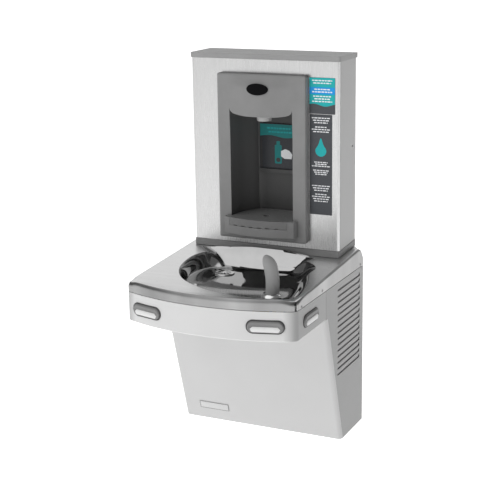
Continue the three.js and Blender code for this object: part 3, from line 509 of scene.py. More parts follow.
class Look:
    """A node material being put together."""

    def __init__(self, name, roughness=0.5, metallic=0.0, **sockets):
        self.material = bpy.data.materials.new(name)
        self.material.use_nodes = True
        self.tree = self.material.node_tree
        self.shader = self.tree.nodes["Principled BSDF"]
        self.shader.inputs["Roughness"].default_value = roughness
        self.shader.inputs["Metallic"].default_value = metallic
        for key, value in sockets.items():
            self.shader.inputs[key.replace("_", " ")].default_value = value
        self.place = add_node(self.tree, "TexCoord").outputs["Object"]

    def join(self, source, target):
        self.tree.links.new(source, target)

    def noise(self, scale, stretch=(1, 1, 1), detail=4.0):
        mapping = add_node(self.tree, "Mapping", Vector=self.place, Scale=stretch)
        vector = mapping.outputs["Vector"]
        return add_node(self.tree, "TexNoise", Vector=vector, Scale=scale, Detail=detail).outputs["Fac"]

    def spread(self, value, low, high, start=0.3, end=0.7):
        node = add_node(self.tree, "MapRange", Value=value, From_Min=start, From_Max=end,
                        To_Min=low, To_Max=high)
        return node.outputs["Result"]

    def colour(self, value, first, second):
        """Base colour from the first to the second, over the middle of the value's range."""
        node = add_node(self.tree, "ValToRGB", Fac=value)
        for element, position, shade in zip(node.color_ramp.elements, (0.3, 0.7), (first, second)):
            element.position = position
            element.color = shade
        self.join(node.outputs["Color"], self.shader.inputs["Base Color"])

    def flanks(self, colour, bend):
        """Turn to another colour between two distances from the middle, on the left and the right, painting
        shade or light onto a piece's sides.
        """
        apart = add_node(self.tree, "SeparateXYZ", Vector=self.place)
        away = add_node(self.tree, "Math")
        away.operation = "ABSOLUTE"
        self.join(apart.outputs["X"], away.inputs[0])
        mix = add_node(self.tree, "Mix")
        mix.data_type = "RGBA"
        socket = self.shader.inputs["Base Color"]
        self.join(self.spread(away.outputs["Value"], 0, 1, *bend), mix.inputs["Factor"])
        self.join(socket.links[0].from_socket, mix.inputs["A"])
        mix.inputs["B"].default_value = colour
        self.join(mix.outputs["Result"], socket)

    def rough(self, value, low, high):
        self.join(self.spread(value, low, high), self.shader.inputs["Roughness"])

    def bump(self, value, strength, distance):
        node = add_node(self.tree, "Bump", Height=value, Strength=strength, Distance=distance)
        self.join(node.outputs["Normal"], self.shader.inputs["Normal"])


def shade(level, by):
    """Two display greys either side of a level, as colours."""
    return rgb(level - by, level - by, level - by), rgb(level + by, level + by, level + by)


def brushed(name, level, stretch, roughness=0.28, by=5, anisotropic=0.4, depth=0.05, patch=60):
    """Satin sheet steel with fine parallel scratches, long where the stretch is small."""
    look = Look(name, roughness, 1.0, Anisotropic=anisotropic)
    fine = look.noise(900, stretch, 3)
    broad = look.noise(patch, stretch, 2)
    look.colour(broad, *shade(level, by))
    look.rough(fine, roughness - 0.05, roughness + 0.08)
    look.bump(fine, depth, 0.0001)
    return look.material


def moulded(name, level, roughness=0.5, grain=1400, by=3, bump=0.12, tint=(0, 0, 0), flank=None):
    """Moulded plastic with a fine spark-eroded grain, lighter on the flanks as painted light if they have a
    level.
    """
    look = Look(name, roughness)
    cloud = look.noise(18, detail=3)
    texture = look.noise(grain, detail=2)
    low, high = (rgb(*(level + side * by + t for t in tint)) for side in (-1, 1))
    look.colour(cloud, low, high)
    if flank is not None:
        look.flanks(shade(flank, by)[0], LINER_BEND)
    look.rough(texture, roughness - 0.04, roughness + 0.06)
    look.bump(texture, bump, 0.0001)
    return look.material


def painted(name, level, roughness=0.42, by=2, peel=0.08, flank=None):
    """Baked enamel on sheet steel with a slight orange peel, darker on the flanks as painted shade if they
    have a level.
    """
    look = Look(name, roughness, 0.0, Coat_Weight=0.15, Coat_Roughness=0.35)
    cloud = look.noise(6, detail=2)
    skin = look.noise(420, detail=1)
    look.colour(cloud, *shade(level, by))
    if flank is not None:
        look.flanks(shade(flank, by)[0], APRON_BEND)
    look.rough(skin, roughness - 0.03, roughness + 0.05)
    look.bump(skin, peel, 0.0002)
    return look.material


def mirror(name, colours, roughness, fine=0.03):
    """Bright metal, between two colours."""
    look = Look(name, roughness, 1.0)
    cloud = look.noise(35, detail=2)
    look.colour(cloud, *colours)
    look.rough(cloud, roughness, roughness + fine)
    return look.material


def printed(name, base, roughness=0.4, specular=0.2):
    look = Look(name, roughness, 0.0, Specular_IOR_Level=specular)
    dots = look.noise(500, detail=1)
    dark = tuple(c * 0.93 for c in base[:3]) + (1.0,)
    look.colour(dots, dark, base)
    look.rough(dots, roughness - 0.03, roughness + 0.05)
    return look.material


# the record's material slots, each with the finishes of its pieces
FINISHES = {
    "basin_steel": {
        "deck": brushed("deck_satin", 216, (0.04, 1, 1), 0.32, 3),
        # the skirt band is the deck's steel set far darker: painted shade standing in for its dim reflections
        "band": brushed("skirt_satin_painted_shade", 152, (1, 1, 0.04), 0.33, 16, 0.2, 0.02, 9),
        "bowl": mirror("bowl_polish", shade(192, 2), 0.03),
    },
    "tower_steel": {
        "tower_front": brushed("tower_brushed", 196, (1, 1, 0.03), 0.28, 2, 0.3, 0.008, 14),
    },
    "chrome_trim": {
        "chrome": mirror("bright_plate", shade(238, 2), 0.04, 0.02),
        "screw": mirror("screw_steel", shade(135, 2), 0.3, 0.1),
    },
    "cabinet_steel": {
        # one enamel at two levels: the apron lighter as painted light, the sloping lower front darker as
        # painted shade
        "cabinet": painted("cabinet_enamel_painted_shade", 190),
        # the apron turns to a darker level on its sides: painted shade
        "apron": painted("apron_enamel_painted_light_and_shade", 207, flank=150),
    },
    "side_paint": {
        # the cabinet's side panels are the front's enamel set darker: painted shade on the sides
        "side": painted("side_enamel", 142),
        "tower_side": painted("tower_side_enamel", 164),
    },
    "zinc_steel": {"zinc": brushed("zinc_sheet", 178, (1, 1, 1), 0.5, 5, 0.0)},
    "grey_plastic": {
        "cap": moulded("cap_grey", 146, 0.45),
        "trim": moulded("trim_grey", 128),
    },
    "alcove_plastic": {
        "bezel": moulded("bezel_grey", 130, 0.48),
        # the recess's liner is the bezel's plastic set far darker as painted shade, and lighter on its side
        # walls as painted light
        "liner": moulded("liner_grey_painted_shading", 60, 0.42, flank=92),
    },
    "tray_plastic": {
        "tray": moulded("tray_grey", 124),
        "grille": moulded("grille_grey", 112),
    },
    "nozzle_plastic": {"nozzle": moulded("nozzle_grey", 176, 0.35)},
    "guard_rubber": {"guard": moulded("guard_grey", 150, 0.55, 700, 3, 0.1)},
    "pad_rubber": {
        "pad": moulded("pad_grey", 122, 0.45),
        "pad_inset": moulded("pad_light", 216, 0.38),
    },
    "black_plastic": {
        "pad_rim": moulded("pad_rim_dark", 66, 0.4),
        "black": moulded("black_plastic", 34, 0.4),
    },
    "brass_fitting": {"brass": mirror("brass_fitting", (rgb(199, 170, 102), rgb(205, 176, 108)), 0.3, 0.1)},
    "white_plastic": {"white": moulded("white_plastic", 226, 0.45)},
    "black_enamel": {"enamel_black": painted("black_enamel", 30)},
    "copper_tube": {"copper": mirror("copper_fins", (rgb(190, 122, 86), rgb(196, 128, 92)), 0.35, 0.1)},
    "blue_tube": {"blue": moulded("blue_tube", 90, 0.35, tint=(-60, 10, 90))},
    "badge_black": {"badge": printed("badge_black", rgb(10, 10, 12), 0.4, 0.05)},
    "nameplate_foil": {"plate": painted("nameplate_foil", 196, 0.3)},
    "label_print": {
        "label_dark": printed("label_dark", rgb(78, 80, 84)),
        "label_teal": printed("label_teal", rgb(38, 174, 176)),
        "label_blue": printed("label_blue", rgb(36, 152, 224)),
        "label_white": printed("label_white", rgb(236, 238, 240)),
        "label_deep": printed("label_deep_teal", rgb(34, 130, 130)),
    },
    "sensor_plastic": {"panel_dark": printed("panel_dark", rgb(60, 62, 66), 0.25)},
}
M = {key: material for looks in FINISHES.values() for key, material in looks.items()}
SLOT_OF = {key: slot for slot, looks in FINISHES.items() for key in looks}


# ---- camera and studio


def build_camera():
    azimuth, elevation, roll = (math.radians(turn) for turn in CAMERA_TURN)
    back = Vector((
        math.sin(azimuth) * math.cos(elevation),
        -math.cos(azimuth) * math.cos(elevation),
        math.sin(elevation),
    ))
    right = Vector((math.cos(azimuth), math.sin(azimuth), 0))
    up = back.cross(right)
    x_axis = math.cos(roll) * right + math.sin(roll) * up
    y_axis = -math.sin(roll) * right + math.cos(roll) * up
    turn = Matrix((x_axis, y_axis, back)).transposed().to_4x4()
    data = bpy.data.cameras.new("camera")
    data.lens = CAMERA_LENS
    data.sensor_width = 36
    data.clip_end = 200
    camera = link(bpy.data.objects.new("camera", data))
    camera.matrix_world = Matrix.Translation(at(*CAMERA_TARGET) + back * CAMERA_DISTANCE) @ turn
    bpy.context.scene.camera = camera


def build_key_light():
    data = bpy.data.lights.new("key", "AREA")
    data.shape = "RECTANGLE"
    data.size = data.size_y = 2.2
    data.energy = 26
    lamp = link(bpy.data.objects.new("key", data))
    lamp.location = (-1.8, -3.0, 2.4)
    aim = Vector((0, -0.2, 0.1))
    lamp.rotation_euler = (aim - lamp.location).to_track_quat("-Z", "Y").to_euler()
    lamp.visible_glossy = False


def level_ramp(tree, value, stops):
    """A brightness that follows a direction running from -1 to 1."""
    span = add_node(tree, "MapRange", Value=value, From_Min=-1, From_Max=1)
    ramp = add_node(tree, "ValToRGB", Fac=span.outputs["Result"])
    elements = ramp.color_ramp.elements
    while len(elements) < len(stops):
        elements.new(0.5)
    for element, (direction, level) in zip(elements, stops):
        element.position = (direction + 1) / 2
        element.color = (level, level, level, 1)
    return ramp.outputs["Color"]


def build_world():
    world = bpy.data.worlds.new("studio")
    bpy.context.scene.world = world
    world.use_nodes = True
    tree = world.node_tree
    apart = add_node(tree, "SeparateXYZ", Vector=add_node(tree, "TexCoord").outputs["Generated"])
    both = add_node(tree, "Math")
    both.operation = "MULTIPLY"
    for index, (direction, stops) in enumerate((("X", ACROSS_LIGHT), ("Z", UPWARD_LIGHT))):
        tree.links.new(level_ramp(tree, apart.outputs[direction], stops), both.inputs[index])
    tree.links.new(both.outputs["Value"], tree.nodes["Background"].inputs["Color"])
    tree.nodes["Background"].inputs["Strength"].default_value = 1.1


def paper(name, level, by, scale, detail, glow):
    """Backdrop paper that glows by itself."""
    look = Look(name, 0.9, Emission_Color=(1, 1, 1, 1), Emission_Strength=glow)
    look.colour(look.noise(scale, detail=detail), *shade(level, by))
    return look.material


def build_studio():
    bpy.context.scene.view_settings.view_transform = "Standard"
    build_world()
    build_key_light()

    mesh = bpy.data.meshes.new("studio_floor")
    floor_z = at(0, 0, FLOOR_HEIGHT).z
    ring = [(x, y, floor_z) for x, y in ellipse(0, 0, FLOOR_RADIUS, FLOOR_RADIUS, 64)]
    mesh.from_pydata(ring, [], [tuple(range(64))])
    mesh.materials.append(paper("floor_paper", 251, 1, 30, 3, 0.75))
    link(bpy.data.objects.new("studio_floor", mesh))

    # a pale dome that only the camera sees, so that the room's dark sides show in reflections alone
    dome_mesh = bpy.data.meshes.new("studio_dome")
    shell = bmesh.new()
    bmesh.ops.create_uvsphere(shell, u_segments=64, v_segments=32, radius=DOME_RADIUS)
    shell.to_mesh(dome_mesh)
    shell.free()
    dome_mesh.materials.append(paper("dome_paper", 248, 2, 3, 1, 1.0))
    dome = link(bpy.data.objects.new("studio_dome", dome_mesh))
    for ray in ("diffuse", "glossy", "transmission", "shadow"):
        setattr(dome, f"visible_{ray}", False)


# ---- basin


def front_plan(inset, rear):
    """The cabinet's plan from the rear left corner round the bowed front to the rear right."""
    half = HALF_WIDTH - inset
    cx = HALF_WIDTH - FRONT_CORNER
    cy = FRONT_CENTRE_Y - math.sqrt((FRONT_RADIUS - FRONT_CORNER) ** 2 - cx**2)
    turn = math.atan2(cx, FRONT_CENTRE_Y - cy)
    ahead = -math.pi / 2
    right = arc(cx, cy, FRONT_CORNER - inset, ahead + turn, 0, 20)
    bow = arc(0, FRONT_CENTRE_Y, FRONT_RADIUS - inset, ahead - turn, ahead + turn, 72)
    left = [(-x, y) for x, y in reversed(right)]
    return [(-half, rear)] + left + bow[1:-1] + right + [(half, rear)]


def deck_height(x, y):
    fall = max(0.0, y + REAR_TOP_RADIUS)
    drop = REAR_TOP_RADIUS - math.sqrt(max(0.0, REAR_TOP_RADIUS**2 - fall**2))
    return DECK_AT_WALL + DECK_SLOPE * y - drop * smooth(abs(x), 208.6, 224)


def lip(x):
    """How far the splash lip stands above the deck at x."""
    return HUMP_HEIGHT * smooth(x, -185, -20) * (1 - smooth(x, 50, 150))


def deck_edge():
    """Points round the deck's edge, each with its outward direction."""
    edge = [((HALF_WIDTH, DECK_REAR), (1, 1))]
    for x in np.linspace(216, -216, 45):
        edge.append(((x, DECK_REAR), (0, 1)))
    edge.append(((-HALF_WIDTH, DECK_REAR), (-1, 1)))
    side = list(np.linspace(-14.5, -430, 44))
    for y in side:
        edge.append(((-HALF_WIDTH, y), (-1, 0)))
    outer = front_plan(0, DECK_REAR)[1:-1]
    inner = front_plan(1, DECK_REAR)[1:-1]
    for (x, y), (u, v) in zip(outer, inner):
        edge.append(((x, y), (x - u, y - v)))
    for y in reversed(side):
        edge.append(((HALF_WIDTH, y), (1, 0)))
    return edge


def rim_toward(point, rim):
    """Where the line from the bowl's centre to a point crosses the rim."""
    cx, cy = BOWL_CENTRE
    dx, dy = point[0] - cx, point[1] - cy
    a = np.array(rim)
    b = np.roll(a, -1, axis=0)
    e = b - a
    det = -dx * e[:, 1] + dy * e[:, 0]
    det[np.abs(det) < 1e-9] = 1e-9
    t = (-(a[:, 0] - cx) * e[:, 1] + (a[:, 1] - cy) * e[:, 0]) / det
    s = (dx * (a[:, 1] - cy) - dy * (a[:, 0] - cx)) / det
    good = t[(t > 0) & (s >= -1e-6) & (s <= 1 + 1e-6)]
    best = good.max()
    return cx + dx * best, cy + dy * best


def basin_columns():
    """Columns of points from the drain out over the floor, wall, rim and deck, and down the skirt."""
    rim = spline(BOWL_RIM, RIM_POINTS)
    floor_parts = np.linspace(0.0, 1.0, FLOOR_ROWS + 2)[1:-1]
    wall_parts = np.linspace(0.0, 1.0, WALL_ROWS + 1)[:-1]
    columns = []
    polished_rear = []
    for edge, n in deck_edge():
        r = rim_toward(edge, rim)
        to_drain = math.dist(DRAIN, r)
        inward = ((DRAIN[0] - r[0]) / to_drain, (DRAIN[1] - r[1]) / to_drain)
        wall = WALL_RUN + WALL_WIDENING * smooth(r[0], 60, 200)

        def inside(distance):
            return r[0] + inward[0] * distance, r[1] + inward[1] * distance

        def floor_at(q):
            return DRAIN_Z + 1.2 + FLOOR_SLOPE * (math.dist(q, DRAIN) - DRAIN_RADIUS)

        rim_z = deck_height(*r) + 0.35 * lip(r[0]) * smooth(r[1], -175, -155)
        out = (edge[0] - r[0], edge[1] - r[1])
        length = math.hypot(*out)
        rearward = r[1] > -168 and out[1] > 0.5 * length
        polished_rear.append(rearward and lip(r[0]) > 2)
        swept = smooth(lip(r[0]), 0.5, 6) if rearward else 0.0
        to_crest = (CREST_Y - r[1]) / out[1] if rearward else 0.0
        crest = (r[0] + out[0] * to_crest, CREST_Y)
        crest_z = deck_height(*crest) + lip(crest[0])
        span = wall + math.dist(crest, r)
        column = [(*inside(to_drain - DRAIN_RADIUS), DRAIN_Z - SHEET)]
        for radius, sink in DRAIN_EDGE:
            q = inside(to_drain - radius)
            column.append((*q, floor_at(q) - sink))
        reach = to_drain - DRAIN_EDGE[-1][0]
        for part in floor_parts:
            q = inside(reach - part * (reach - wall))
            column.append((*q, floor_at(q)))
        foot = floor_at(inside(wall))

        def swept_to(own, distance):
            """A height on the wall, drawn towards the one smooth sweep from its foot to the lip's crest."""
            sweep = foot + (crest_z - foot) * min(1.0, distance / span) ** 2
            return own + (sweep - own) * swept

        for part in wall_parts:
            rise = smooth(part, -0.12, 1.05)
            own = foot + (rim_z - 0.4 - foot) * rise
            column.append((*inside(wall * (1 - part)), swept_to(own, wall * part)))
        column.append((*inside(0.8), swept_to(rim_z - 0.15, wall - 0.8)))
        column.append((*r, swept_to(rim_z, wall)))
        for k in range(1, DECK_ROWS + 1):
            part = k / DECK_ROWS
            step = (DECK_END - r[1]) / out[1] if rearward else min(28 / length, 0.38)
            q = (r[0] + out[0] * step * part, r[1] + out[1] * step * part)
            high = deck_height(*q)
            if rearward:
                rising = 0.35 + 0.65 * smooth(q[1], -152, CREST_Y)
                falling = 1 - smooth(q[1], CREST_Y, DECK_END - 0.3)
                high += rising * falling * lip(q[0])
                if q[1] < CREST_Y:
                    high = swept_to(high, wall + math.dist(q, r))
            column.append((*q, high))
        bead = BEAD_HEIGHT * smooth(-n[1], 0.05, 0.9) * (1 - 0.75 * smooth(abs(edge[0]), 195, 228))
        start = min(1.0, 0.5 * length / BEAD_PROFILE[0][0])
        from_corner = math.hypot(abs(edge[0]) - HALF_WIDTH, edge[1] + CORNER_Y)
        corner = 1 - smooth(from_corner, 8, 48)
        for inset, share, drop in BEAD_PROFILE:
            q = (edge[0] - n[0] * inset * start, edge[1] - n[1] * inset * start)
            rolled = drop + CORNER_ROLL * corner * (1 - inset / BEAD_PROFILE[0][0]) ** 2
            column.append((*q, deck_height(*q) + share * bead - rolled))
        top = column[-1][2]
        column += [(*edge, top - drop) for drop in (0.9, 1.8, 2.7)]
        column += [(*edge, top - 2.7 + (SKIRT_BOTTOM - top + 2.7) * part) for part in (0.3, 0.65, 1.0)]
        columns.append(column)
    return columns, polished_rear


def build_basin():
    columns, polished_rear = basin_columns()
    count, rows = len(columns), len(columns[0])
    points = np.array(columns)
    along = np.roll(points, -1, axis=0) - np.roll(points, 1, axis=0)
    across = np.gradient(points, axis=1)
    normal = np.cross(across, along)
    normal /= np.maximum(1e-9, np.linalg.norm(normal, axis=2, keepdims=True))
    verts = np.concatenate([points.reshape(-1, 3), (points - SHEET * normal).reshape(-1, 3)])
    one_skin = count * (rows - 1)
    rim_row = 1 + len(DRAIN_EDGE) + FLOOR_ROWS + WALL_ROWS + 1

    def pick(index):
        """The bowl's polish up to the rim, or over the lip's crest; then the deck, and the band, whose darker
        steel is painted shade.
        """
        if index >= 2 * one_skin:
            return 0
        column, row = divmod(index % one_skin, rows - 1)
        if row < rim_row + (CREST_ROWS if polished_rear[column] else 0):
            return 0
        return 1 if row < rows - BAND_ROWS else 2

    obj = make("basin_sheet", [tuple(v) for v in verts], sheet_faces(count, rows, True),
               ["bowl", "deck", "band"], "basin", angle=50, pick=pick)
    (x, y, z), size = CORNER_NOTCH
    combine(obj, [box_mesh((side * x, y, z), size) for side, _ in SIDES] + [box_mesh(*TOWER_HOLE)])


# ---- cabinet


def pad_place(x, turn):
    """Puts a pad's own coordinates, front towards -Y, where that pad sits on the apron."""
    side = abs(x) == HALF_WIDTH
    y = PAD_SIDE_Y if side else FRONT_CENTRE_Y - math.sqrt(FRONT_RADIUS**2 - x**2)
    c, s = math.cos(turn), math.sin(turn)
    return lambda u, v, w: (x + u * c - v * s, y + u * s + v * c, PAD_Z + w)


def slope_y(z):
    """Where the sloping front stands at a height."""
    return CABINET_FLOOR_Y + (APRON_REAR - CABINET_FLOOR_Y) * z / (APRON_BOTTOM - 1)


def build_apron():
    """A floor with walls round it, open at the rear, with a hole for each pad."""
    levels = [(APRON_LIP, APRON_BOTTOM)]
    levels += arc(APRON_ROUND, APRON_BOTTOM + APRON_ROUND, APRON_ROUND, -math.pi / 2, -math.pi, 8)
    inside = APRON_BOTTOM + APRON_WALL
    levels += [(0, APRON_TOP), (APRON_WALL, APRON_TOP), (APRON_WALL, inside), (APRON_LIP, inside)]
    rings = [[(x, y, z) for x, y in front_plan(inset, APRON_REAR)] for inset, z in levels]
    count = len(rings[0])
    starts = [r * count for r in range(len(rings))]
    faces = grid_faces(len(rings), count)
    faces += [tuple(range(start, start + count)) for start in (0, starts[-1])]
    faces.append(tuple(starts + [start + count - 1 for start in reversed(starts)]))
    # the apron's enamel is lighter than the lower front's as painted light, and darker on its sides as
    # painted shade
    apron = make("apron_shell", [p for ring in rings for p in ring], faces, "apron", "apron")
    hole = obround(PAD_LENGTH + PAD_HOLE_MARGIN, PAD_HEIGHT + PAD_HOLE_MARGIN)
    combine(apron, [prism("tool", hole, Y, (-30, 30), place=pad_place(x, turn)) for _, x, turn in PAD_PLACES])
    crease_shading(apron.data)
    even_normals(apron)


def build_front_panel():
    # the lower front takes the enamel set darker as painted shade
    prism("lower_front_sheet", bent_sheet(HALF_WIDTH, 0, PANEL_ROUND, PANEL_RETURN), Z,
          (0, APRON_BOTTOM - 0.6), "cabinet", "front_access_panel", lambda x, y, z: (x, y + slope_y(z), z))


def build_side_panels():
    for side, name in SIDES:
        node = f"side_panel_{name}"
        front = PANEL_RETURN + 0.4
        outline = [
            (-0.3, 0), (-0.3, APRON_TOP), (APRON_REAR + 1, APRON_TOP), (APRON_REAR + 1, APRON_BOTTOM - 0.2),
            (slope_y(APRON_BOTTOM) + front, APRON_BOTTOM - 0.2), (slope_y(0) + front, 0),
        ]
        # the side sheet, its flange and its louvre blades take the side enamel, darker as painted shade
        sheet = prism(f"{node}_sheet", outline, X, (side * (HALF_WIDTH - SHEET), side * HALF_WIDTH),
                      "side", node)
        flange = box_points(side * (HALF_WIDTH - 7.5), -1.05, 217.5, 12, 1.5, 415)
        make(f"{node}_flange", flange, BOX_FACES, "side")
        build_louvres(sheet, name, side)
        for index, (y, z) in enumerate(SIDE_SCREWS):
            screw(f"side_screw_{name}_{index}", side, y, z)


def build_louvres(sheet, name, side):
    """Opens the row of slots and sets a slanted blade into each, short of the slot's rear end."""
    verts, faces = [], []
    windows = []
    for i in range(LOUVRES):
        z = LOUVRE_BOTTOM + 2 + i * LOUVRE_PITCH
        windows.append(box_mesh((side * HALF_WIDTH, (LOUVRE_FRONT + LOUVRE_REAR) / 2, z + 3.4),
                                (12, LOUVRE_REAR - LOUVRE_FRONT, LOUVRE_HEIGHT)))
        section = ((HALF_WIDTH - 4.4, z - 2.6), (HALF_WIDTH - 3.2, z - 2.6),
                   (HALF_WIDTH - 0.1, z + 8.6), (HALF_WIDTH - 1.3, z + 8.6))
        base = len(verts)
        for y in (LOUVRE_FRONT - 1, LOUVRE_REAR - 4.5):
            verts.extend((side * x, y, w) for x, w in section)
        faces.extend(tuple(base + k for k in face) for face in BOX_FACES)
    combine(sheet, windows)
    bevel(sheet, 0.35, 2)
    make(f"louvre_blades_{name}", verts, faces, "side")


def screw(name, side, y, z):
    """A domed screw with a cross recess, its head towards one side."""
    rings = []
    for share, high in ((0, 0.9), (0.5, 0.75), (0.85, 0.4), (1, 0)):
        ring = ellipse(y, z, SCREW_RADIUS * share, SCREW_RADIUS * share, 20)
        rings.append([(side * (HALF_WIDTH + high), v, w) for v, w in ring])
    head = rings_solid(name, rings, "screw")
    recess = []
    for turn in (0.4, 0.4 + math.pi / 2):
        slot = turned([(2.6 * u, 0.42 * w) for u, w in SQUARE], (y, z), turn)
        recess.append(prism("tool", slot, X, (side * (HALF_WIDTH + 0.25), side * (HALF_WIDTH + 3))))
    combine(head, recess)
    crease_shading(head.data)


def build_nameplate():
    """A thin blank plate with a raised border, lying on the sloping front."""
    tilt = math.atan2(CABINET_FLOOR_Y - APRON_REAR, APRON_BOTTOM - 1)
    centre_x, centre_z = NAMEPLATE

    def place(u, v, w):
        return (centre_x + u, slope_y(centre_z) - 0.5 + v * math.cos(tilt) - w * math.sin(tilt),
                centre_z + w * math.cos(tilt) + v * math.sin(tilt))

    def oblong(inset, radius):
        return rounded_rect(inset - 43.5, 43.5 - inset, inset - 11, 11 - inset, radius)

    plate("nameplate_foil_sheet", oblong(0, 1.5), 0, -0.8, "plate", 0.2, "nameplate", place=place)
    outer, inner = oblong(0.2, 1.4), oblong(1.2, 1.0)
    levels = ((outer, -0.85), (inner, -0.85), (inner, -1.0), (outer, -1.0))
    rings = [[(x, y, z) for x, z in outline] for outline, y in levels]
    rings_solid("nameplate_border", rings, "pad_rim", place=place, closed=True)


# ---- push pads


def pad_rings(margin, section):
    """Slot-shaped rings round a pad, each at its inset and depth."""
    length, height = PAD_LENGTH + margin, PAD_HEIGHT + margin
    return [[(u, v, w) for u, w in obround(length, height, inset)] for inset, v in section]


def build_pads():
    for name, x, turn in PAD_PLACES:
        place = pad_place(x, turn)
        body = f"pad_{name}"
        rings_solid(f"pad_sleeve_{name}_ring", pad_rings(SLEEVE_MARGIN, SLEEVE_SECTION), "pad_rim",
                    f"pad_sleeve_{name}", place=place, closed=True)
        shape = pad_rings(0, PAD_SECTION)
        shape.append([(u * 0.5, -3.9, w * 0.5) for u, w in obround(PAD_LENGTH, PAD_HEIGHT, 7.0)])
        rings_solid(f"push_pad_{name}_body", shape, "pad", f"push_pad_{name}", body, place, 50)
        plate(f"push_pad_{name}_inset", mirrored(PAD_INSET), -3.5, -5.3, "pad_inset", 0.9, None, body, place)
        spring = nodes[f"pad_spring_{name}"].data.copy()
        coil = link(bpy.data.objects.new(f"pad_spring_{name}_coil", spring))
        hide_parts(f"pad_spring_{name}")
        at(*place(0, 18.4, 0))
        at(*place(0, 6.6, 0))
        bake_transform(coil)


# ---- bubbler and drain


def build_bubbler():
    x, y, z = BUBBLER
    rows, around = 56, 40

    def skin(thin):
        """Points of the guard's open shell, upwards in rows, by how far in they lie."""
        out = []
        for k in range(rows + 1):
            u = 1 - (1 - k / rows) ** 2
            shut = max(0.0, (u - 0.74) / 0.26)
            r = (GUARD_RADIUS - thin) * math.sqrt(max(0.0005, 1 - shut**2))
            lean = 3 * math.sin(math.pi * u) - 13 * u**2.2 - (0.5 if thin else 0)
            for i in range(around + 1):
                a = math.pi * (-0.62 + 1.24 * i / around)
                out.append((x + lean + r * math.cos(a), y + 0.92 * r * math.sin(a),
                            z + 9.3 + (GUARD_HEIGHT - thin) * u))
        return out

    make("bubbler_guard_hood", skin(0) + skin(GUARD_WALL), sheet_faces(rows + 1, around + 1),
         "guard", "bubbler_guard", angle=50)
    lathe("bubbler_base_flange", (
        (0, 0), (24.6, 0), (25, 0.6), (24.8, 1.6), (23.6, 3.4), (21.4, 5.4), (20, 6.6), (19.5, 7.6),
        (19.4, 8.8), (0, 9),
    ), BUBBLER, "chrome", "bubbler_base", 72)


def build_drain():
    """The domed strainer, with its star of slots cut through to the drain below."""
    top = DRAIN_Z + 2.6
    strainer = lathe("drain_strainer_plate", (
        (18.6, -12), (20.4, -12), (20.4, -0.1), (26, -0.6), (26.1, 0.2), (25.6, 0.9), (22, 1.3),
        (15, 1.8), (8, 2.2), (0.02, 2.4), (0.02, 0), (18.6, 0),
    ), (*DRAIN, top), "chrome", "drain_strainer", 80, True)
    slots = []
    for i in range(STRAINER_SLOTS):
        a = 2 * math.pi * i / STRAINER_SLOTS + 0.2
        inner = 5.5 if i % 2 == 0 else 8.5
        slot = turned(((inner, -1.1), (17.6, -1.9), (17.6, 1.9), (inner, 1.1)), DRAIN, a)
        slots.append(prism("tool", slot, Z, (top - 4, top + 6)))
    combine(strainer, slots)
    crease_shading(strainer.data)


# ---- tower


def build_tower():
    top = TOWER_TOP - 0.4
    outline = bent_sheet(TOWER_HALF, TOWER_FRONT, EDGE_RADIUS, TOWER_FRONT + EDGE_RADIUS)
    front = prism("tower_front_sheet", outline, Z, (TOWER_BOTTOM + 1, top), "tower_front",
                  "tower_front_panel")
    combine(front, [box_mesh(*TOWER_WINDOW)])
    for side, name in SIDES:
        node = f"tower_side_{name}"
        y0, y1 = TOWER_FRONT + EDGE_RADIUS + SIDE_GAP, -3
        low = TOWER_BOTTOM + 0.4
        outline = [(y0, low + DECK_SLOPE * (y0 - TOWER_FRONT)), (y1, low + DECK_SLOPE * (y1 - TOWER_FRONT)),
                   (y1, top), (y0, top)]
        ends = (side * (TOWER_HALF - SHEET), side * TOWER_HALF)
        sheet = prism(f"{node}_sheet", outline, X, ends, "tower_side", node)
        combine(sheet, [prism("tool", ellipse(-25, 760, 3, 3, 32), X, (-300 * side, 300 * side))])
        bevel(sheet, 0.3, 2)
    softened("tower_top_cap", "tower_cap_moulding", 1.6, "cap", 4)
    softened("tower_bottom_trim", "tower_trim_moulding", 1.2, "trim", 4)


def bezel_face(x, z):
    """How far forward the bezel stands, with its bulging hood and rounded edges."""
    across = min(1, abs(x) / HOOD_HALF)
    bulge = HOOD_BULGE * math.cos(across * math.pi / 2) ** 2 * (1 - 0.7 * smooth(z, 915, BEZEL_TOP))
    edge = min(BEZEL_HALF - abs(x), BEZEL_TOP - z, z - BEZEL_BOTTOM)
    lost = max(0.0, BEZEL_EDGE - max(0.0, edge))
    rounding = BEZEL_EDGE - math.sqrt(BEZEL_EDGE**2 - lost**2)
    return BEZEL_FACE - bulge * smooth(z, HOOD_EDGE - 60, HOOD_EDGE) + rounding


def alcove_plan(front, inset=0.0):
    back = (0, ALCOVE_BACK - inset)
    controls = [(x - inset, y - inset) for x, y in ALCOVE_PLAN[1:]]
    right = [(ALCOVE_HALF - inset, front)]
    right += spline(controls + [back], 36, False)[:-1]
    return right + [back] + [(-x, y) for x, y in reversed(right)]


